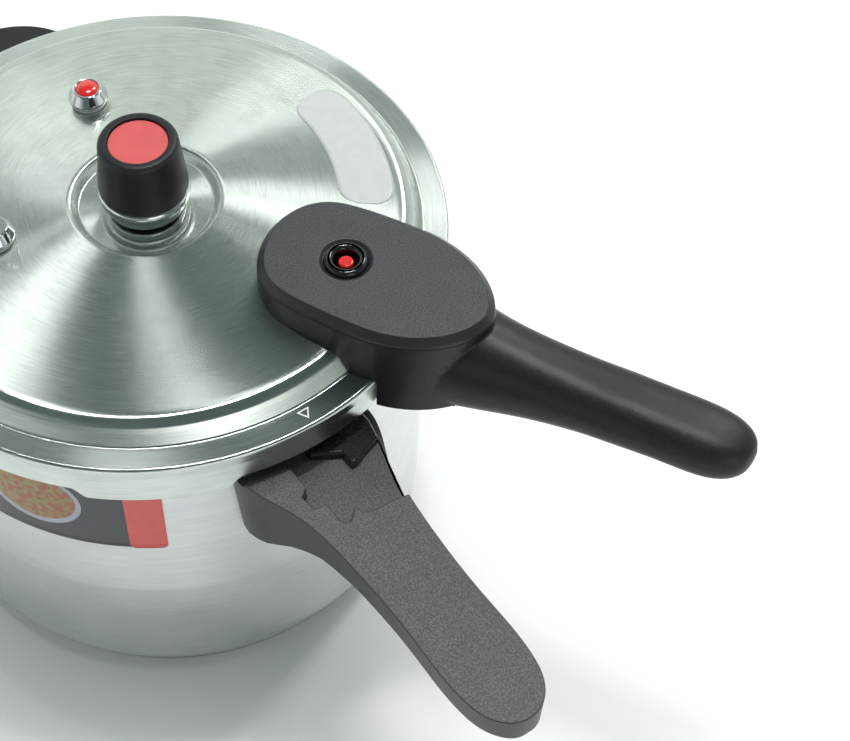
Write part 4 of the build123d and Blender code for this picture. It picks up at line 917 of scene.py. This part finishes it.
# ---------------------------------------------------------------- pressure indicator and lock
# A red-tipped float rises through a glossy bezel when the pan is under pressure, and its cross pin drives
# a steel lock slide whose hook drops behind the catch on the pot handle.
gloss_black = moulded(
    "gloss_black", (0.008, 0.008, 0.009), (0.014, 0.014, 0.015), (0.08, 0.14), 1500.0, 0.000006, coat=0.5
)
PIN_AT = middle_of("indicator_tip")
BEZEL_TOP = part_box("indicator_bezel")[1].z / MM
BEZEL_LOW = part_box("indicator_bezel")[0].z / MM
TIP_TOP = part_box("indicator_tip")[1].z / MM
BEZEL_R = 8.4
BEZEL_BORE = 4.85
TIP_R = 3.0
bezel_line = rounded(
    [
        (BEZEL_BORE, BEZEL_LOW, 0),
        (BEZEL_R, BEZEL_LOW, 0),
        (BEZEL_R, BEZEL_TOP, 1.7),
        (BEZEL_BORE, BEZEL_TOP, 1.7),
    ],
    steps=8,
)
bezel = spun("indicator_ring", bezel_line, gloss_black, "lid", PIN_AT, 96)
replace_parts(bezel, "indicator_bezel")
TIP_LOW = TIP_TOP - 3.9
tip_line = rounded([(0, TIP_LOW, 0), (TIP_R, TIP_LOW, 0.1), (TIP_R, TIP_TOP, 0.8), (0, TIP_TOP, 0)])
tip = spun("indicator_button", tip_line, red_gloss, "indicator", PIN_AT, 64)
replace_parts(tip, "indicator_tip")
refinish(["indicator_pin", "float_bush", "float_nut", "lock_slider", "lid_bracket"], fitting_steel)
refinish(["pot_handle_bracket", "helper_bracket"], chrome)


# ---------------------------------------------------------------- screws
# Plated pan-head screws hold both handles and the cover.
plated_screw = polished_steel("plated_screw", (0.58, 0.585, 0.6), (0.18, 0.3))
refinish(["pot_handle_screw", "helper_screw", "lid_handle_screws", "cover_screws"], plated_screw)


# ---------------------------------------------------------------- floor and studio light
# The cooker stands on a plain pale table in a studio that is bright on its far side. Small ceiling lamps
# draw bright lines across the brushed steel, soft panels stand round it, and a wide fill evens the shade.
FLOOR_HALF = 6.0
FLOOR_Z = -0.0004
SKY_TILT = (-0.19, -0.41, 1.0)


def flat_material(name, colour, rough):
    """A plain painted surface with the faintest mottle."""
    material, tree, shader = new_material(name, 0.0, 0.2)
    smudge = place_group(tree, handling_marks, Size=2.0)["Smudge"]
    shade = tuple(0.985 * c for c in colour)
    tree.links.new(mix_colours(tree, smudge, colour, shade), shader.inputs["Base Color"])
    shader.inputs["Roughness"].default_value = rough
    return material


floor_mesh = bpy.data.meshes.new("floor")
floor_plan = np.array([(-1, -1), (1, -1), (1, 1), (-1, 1)]) * FLOOR_HALF
floor_mesh.from_pydata([(x, y, FLOOR_Z) for x, y in floor_plan.tolist()], [], [(0, 1, 2, 3)])
floor = bpy.data.objects.new("floor", floor_mesh)
floor_mesh.materials.append(flat_material("pale_floor", (0.93, 0.93, 0.93), 0.7))
bpy.context.scene.collection.objects.link(floor)

world = bpy.data.worlds.new("studio")
bpy.context.scene.world = world
world.use_nodes = True
sky = world.node_tree
background = sky.nodes["Background"]
direction = add_node(sky, "ShaderNodeTexCoord").outputs["Generated"]
towards = add_node(sky, "ShaderNodeVectorMath", operation="DOT_PRODUCT", in0=direction, in1=SKY_TILT)
share = add_node(sky, "ShaderNodeMapRange", in0=towards.outputs["Value"], in1=0.28, in2=0.54).outputs[0]
sky.links.new(mix_colours(sky, share, (0.76, 0.82, 0.78), (0.10, 0.14, 0.14)), background.inputs[0])
background.inputs[1].default_value = 1.0
bpy.context.scene.view_settings.view_transform = "Standard"


def panel(name, bearing_deg, elevation_deg, distance, width, height, power):
    """A rectangular light that faces the middle of the lid from a bearing and an elevation."""
    light = bpy.data.lights.new(name, "AREA")
    light.shape = "RECTANGLE"
    light.size = width
    light.size_y = height
    light.energy = power
    lamp = bpy.data.objects.new(name, light)
    a, e = math.radians(bearing_deg), math.radians(elevation_deg)
    away = Vector((math.cos(a) * math.cos(e), math.sin(a) * math.cos(e), math.sin(e)))
    lamp.location = Vector((0, 0, FLANGE_Z * MM)) + away * distance
    lamp.rotation_mode = "QUATERNION"
    lamp.rotation_quaternion = away.to_track_quat("Z", "Y")
    bpy.context.scene.collection.objects.link(lamp)
    return lamp


panel("ceiling_lamp_a", 108, 82, 2.0, 0.03, 0.22, 1.8)
panel("ceiling_lamp_b", 30, 85.5, 2.0, 0.04, 0.22, 3)
panel("ceiling_lamp_c", 12, 81.5, 2.0, 0.03, 0.2, 7)
panel("ceiling_lamp_d", 4, 75.5, 2.0, 0.04, 0.22, 6)
panel("far_panel", 78, 39, 1.8, 0.10, 0.3, 0.26)
panel("right_panel", 14, 47, 1.8, 0.26, 0.5, 8)
panel("left_panel", 170, 20, 1.6, 0.7, 0.5, 0.8)
panel("front_panel", -100, 12, 1.7, 0.9, 0.4, 3.0)
fill = panel("overhead_fill", 20, 80, 2.0, 1.6, 1.6, 25)
fill.visible_glossy = False
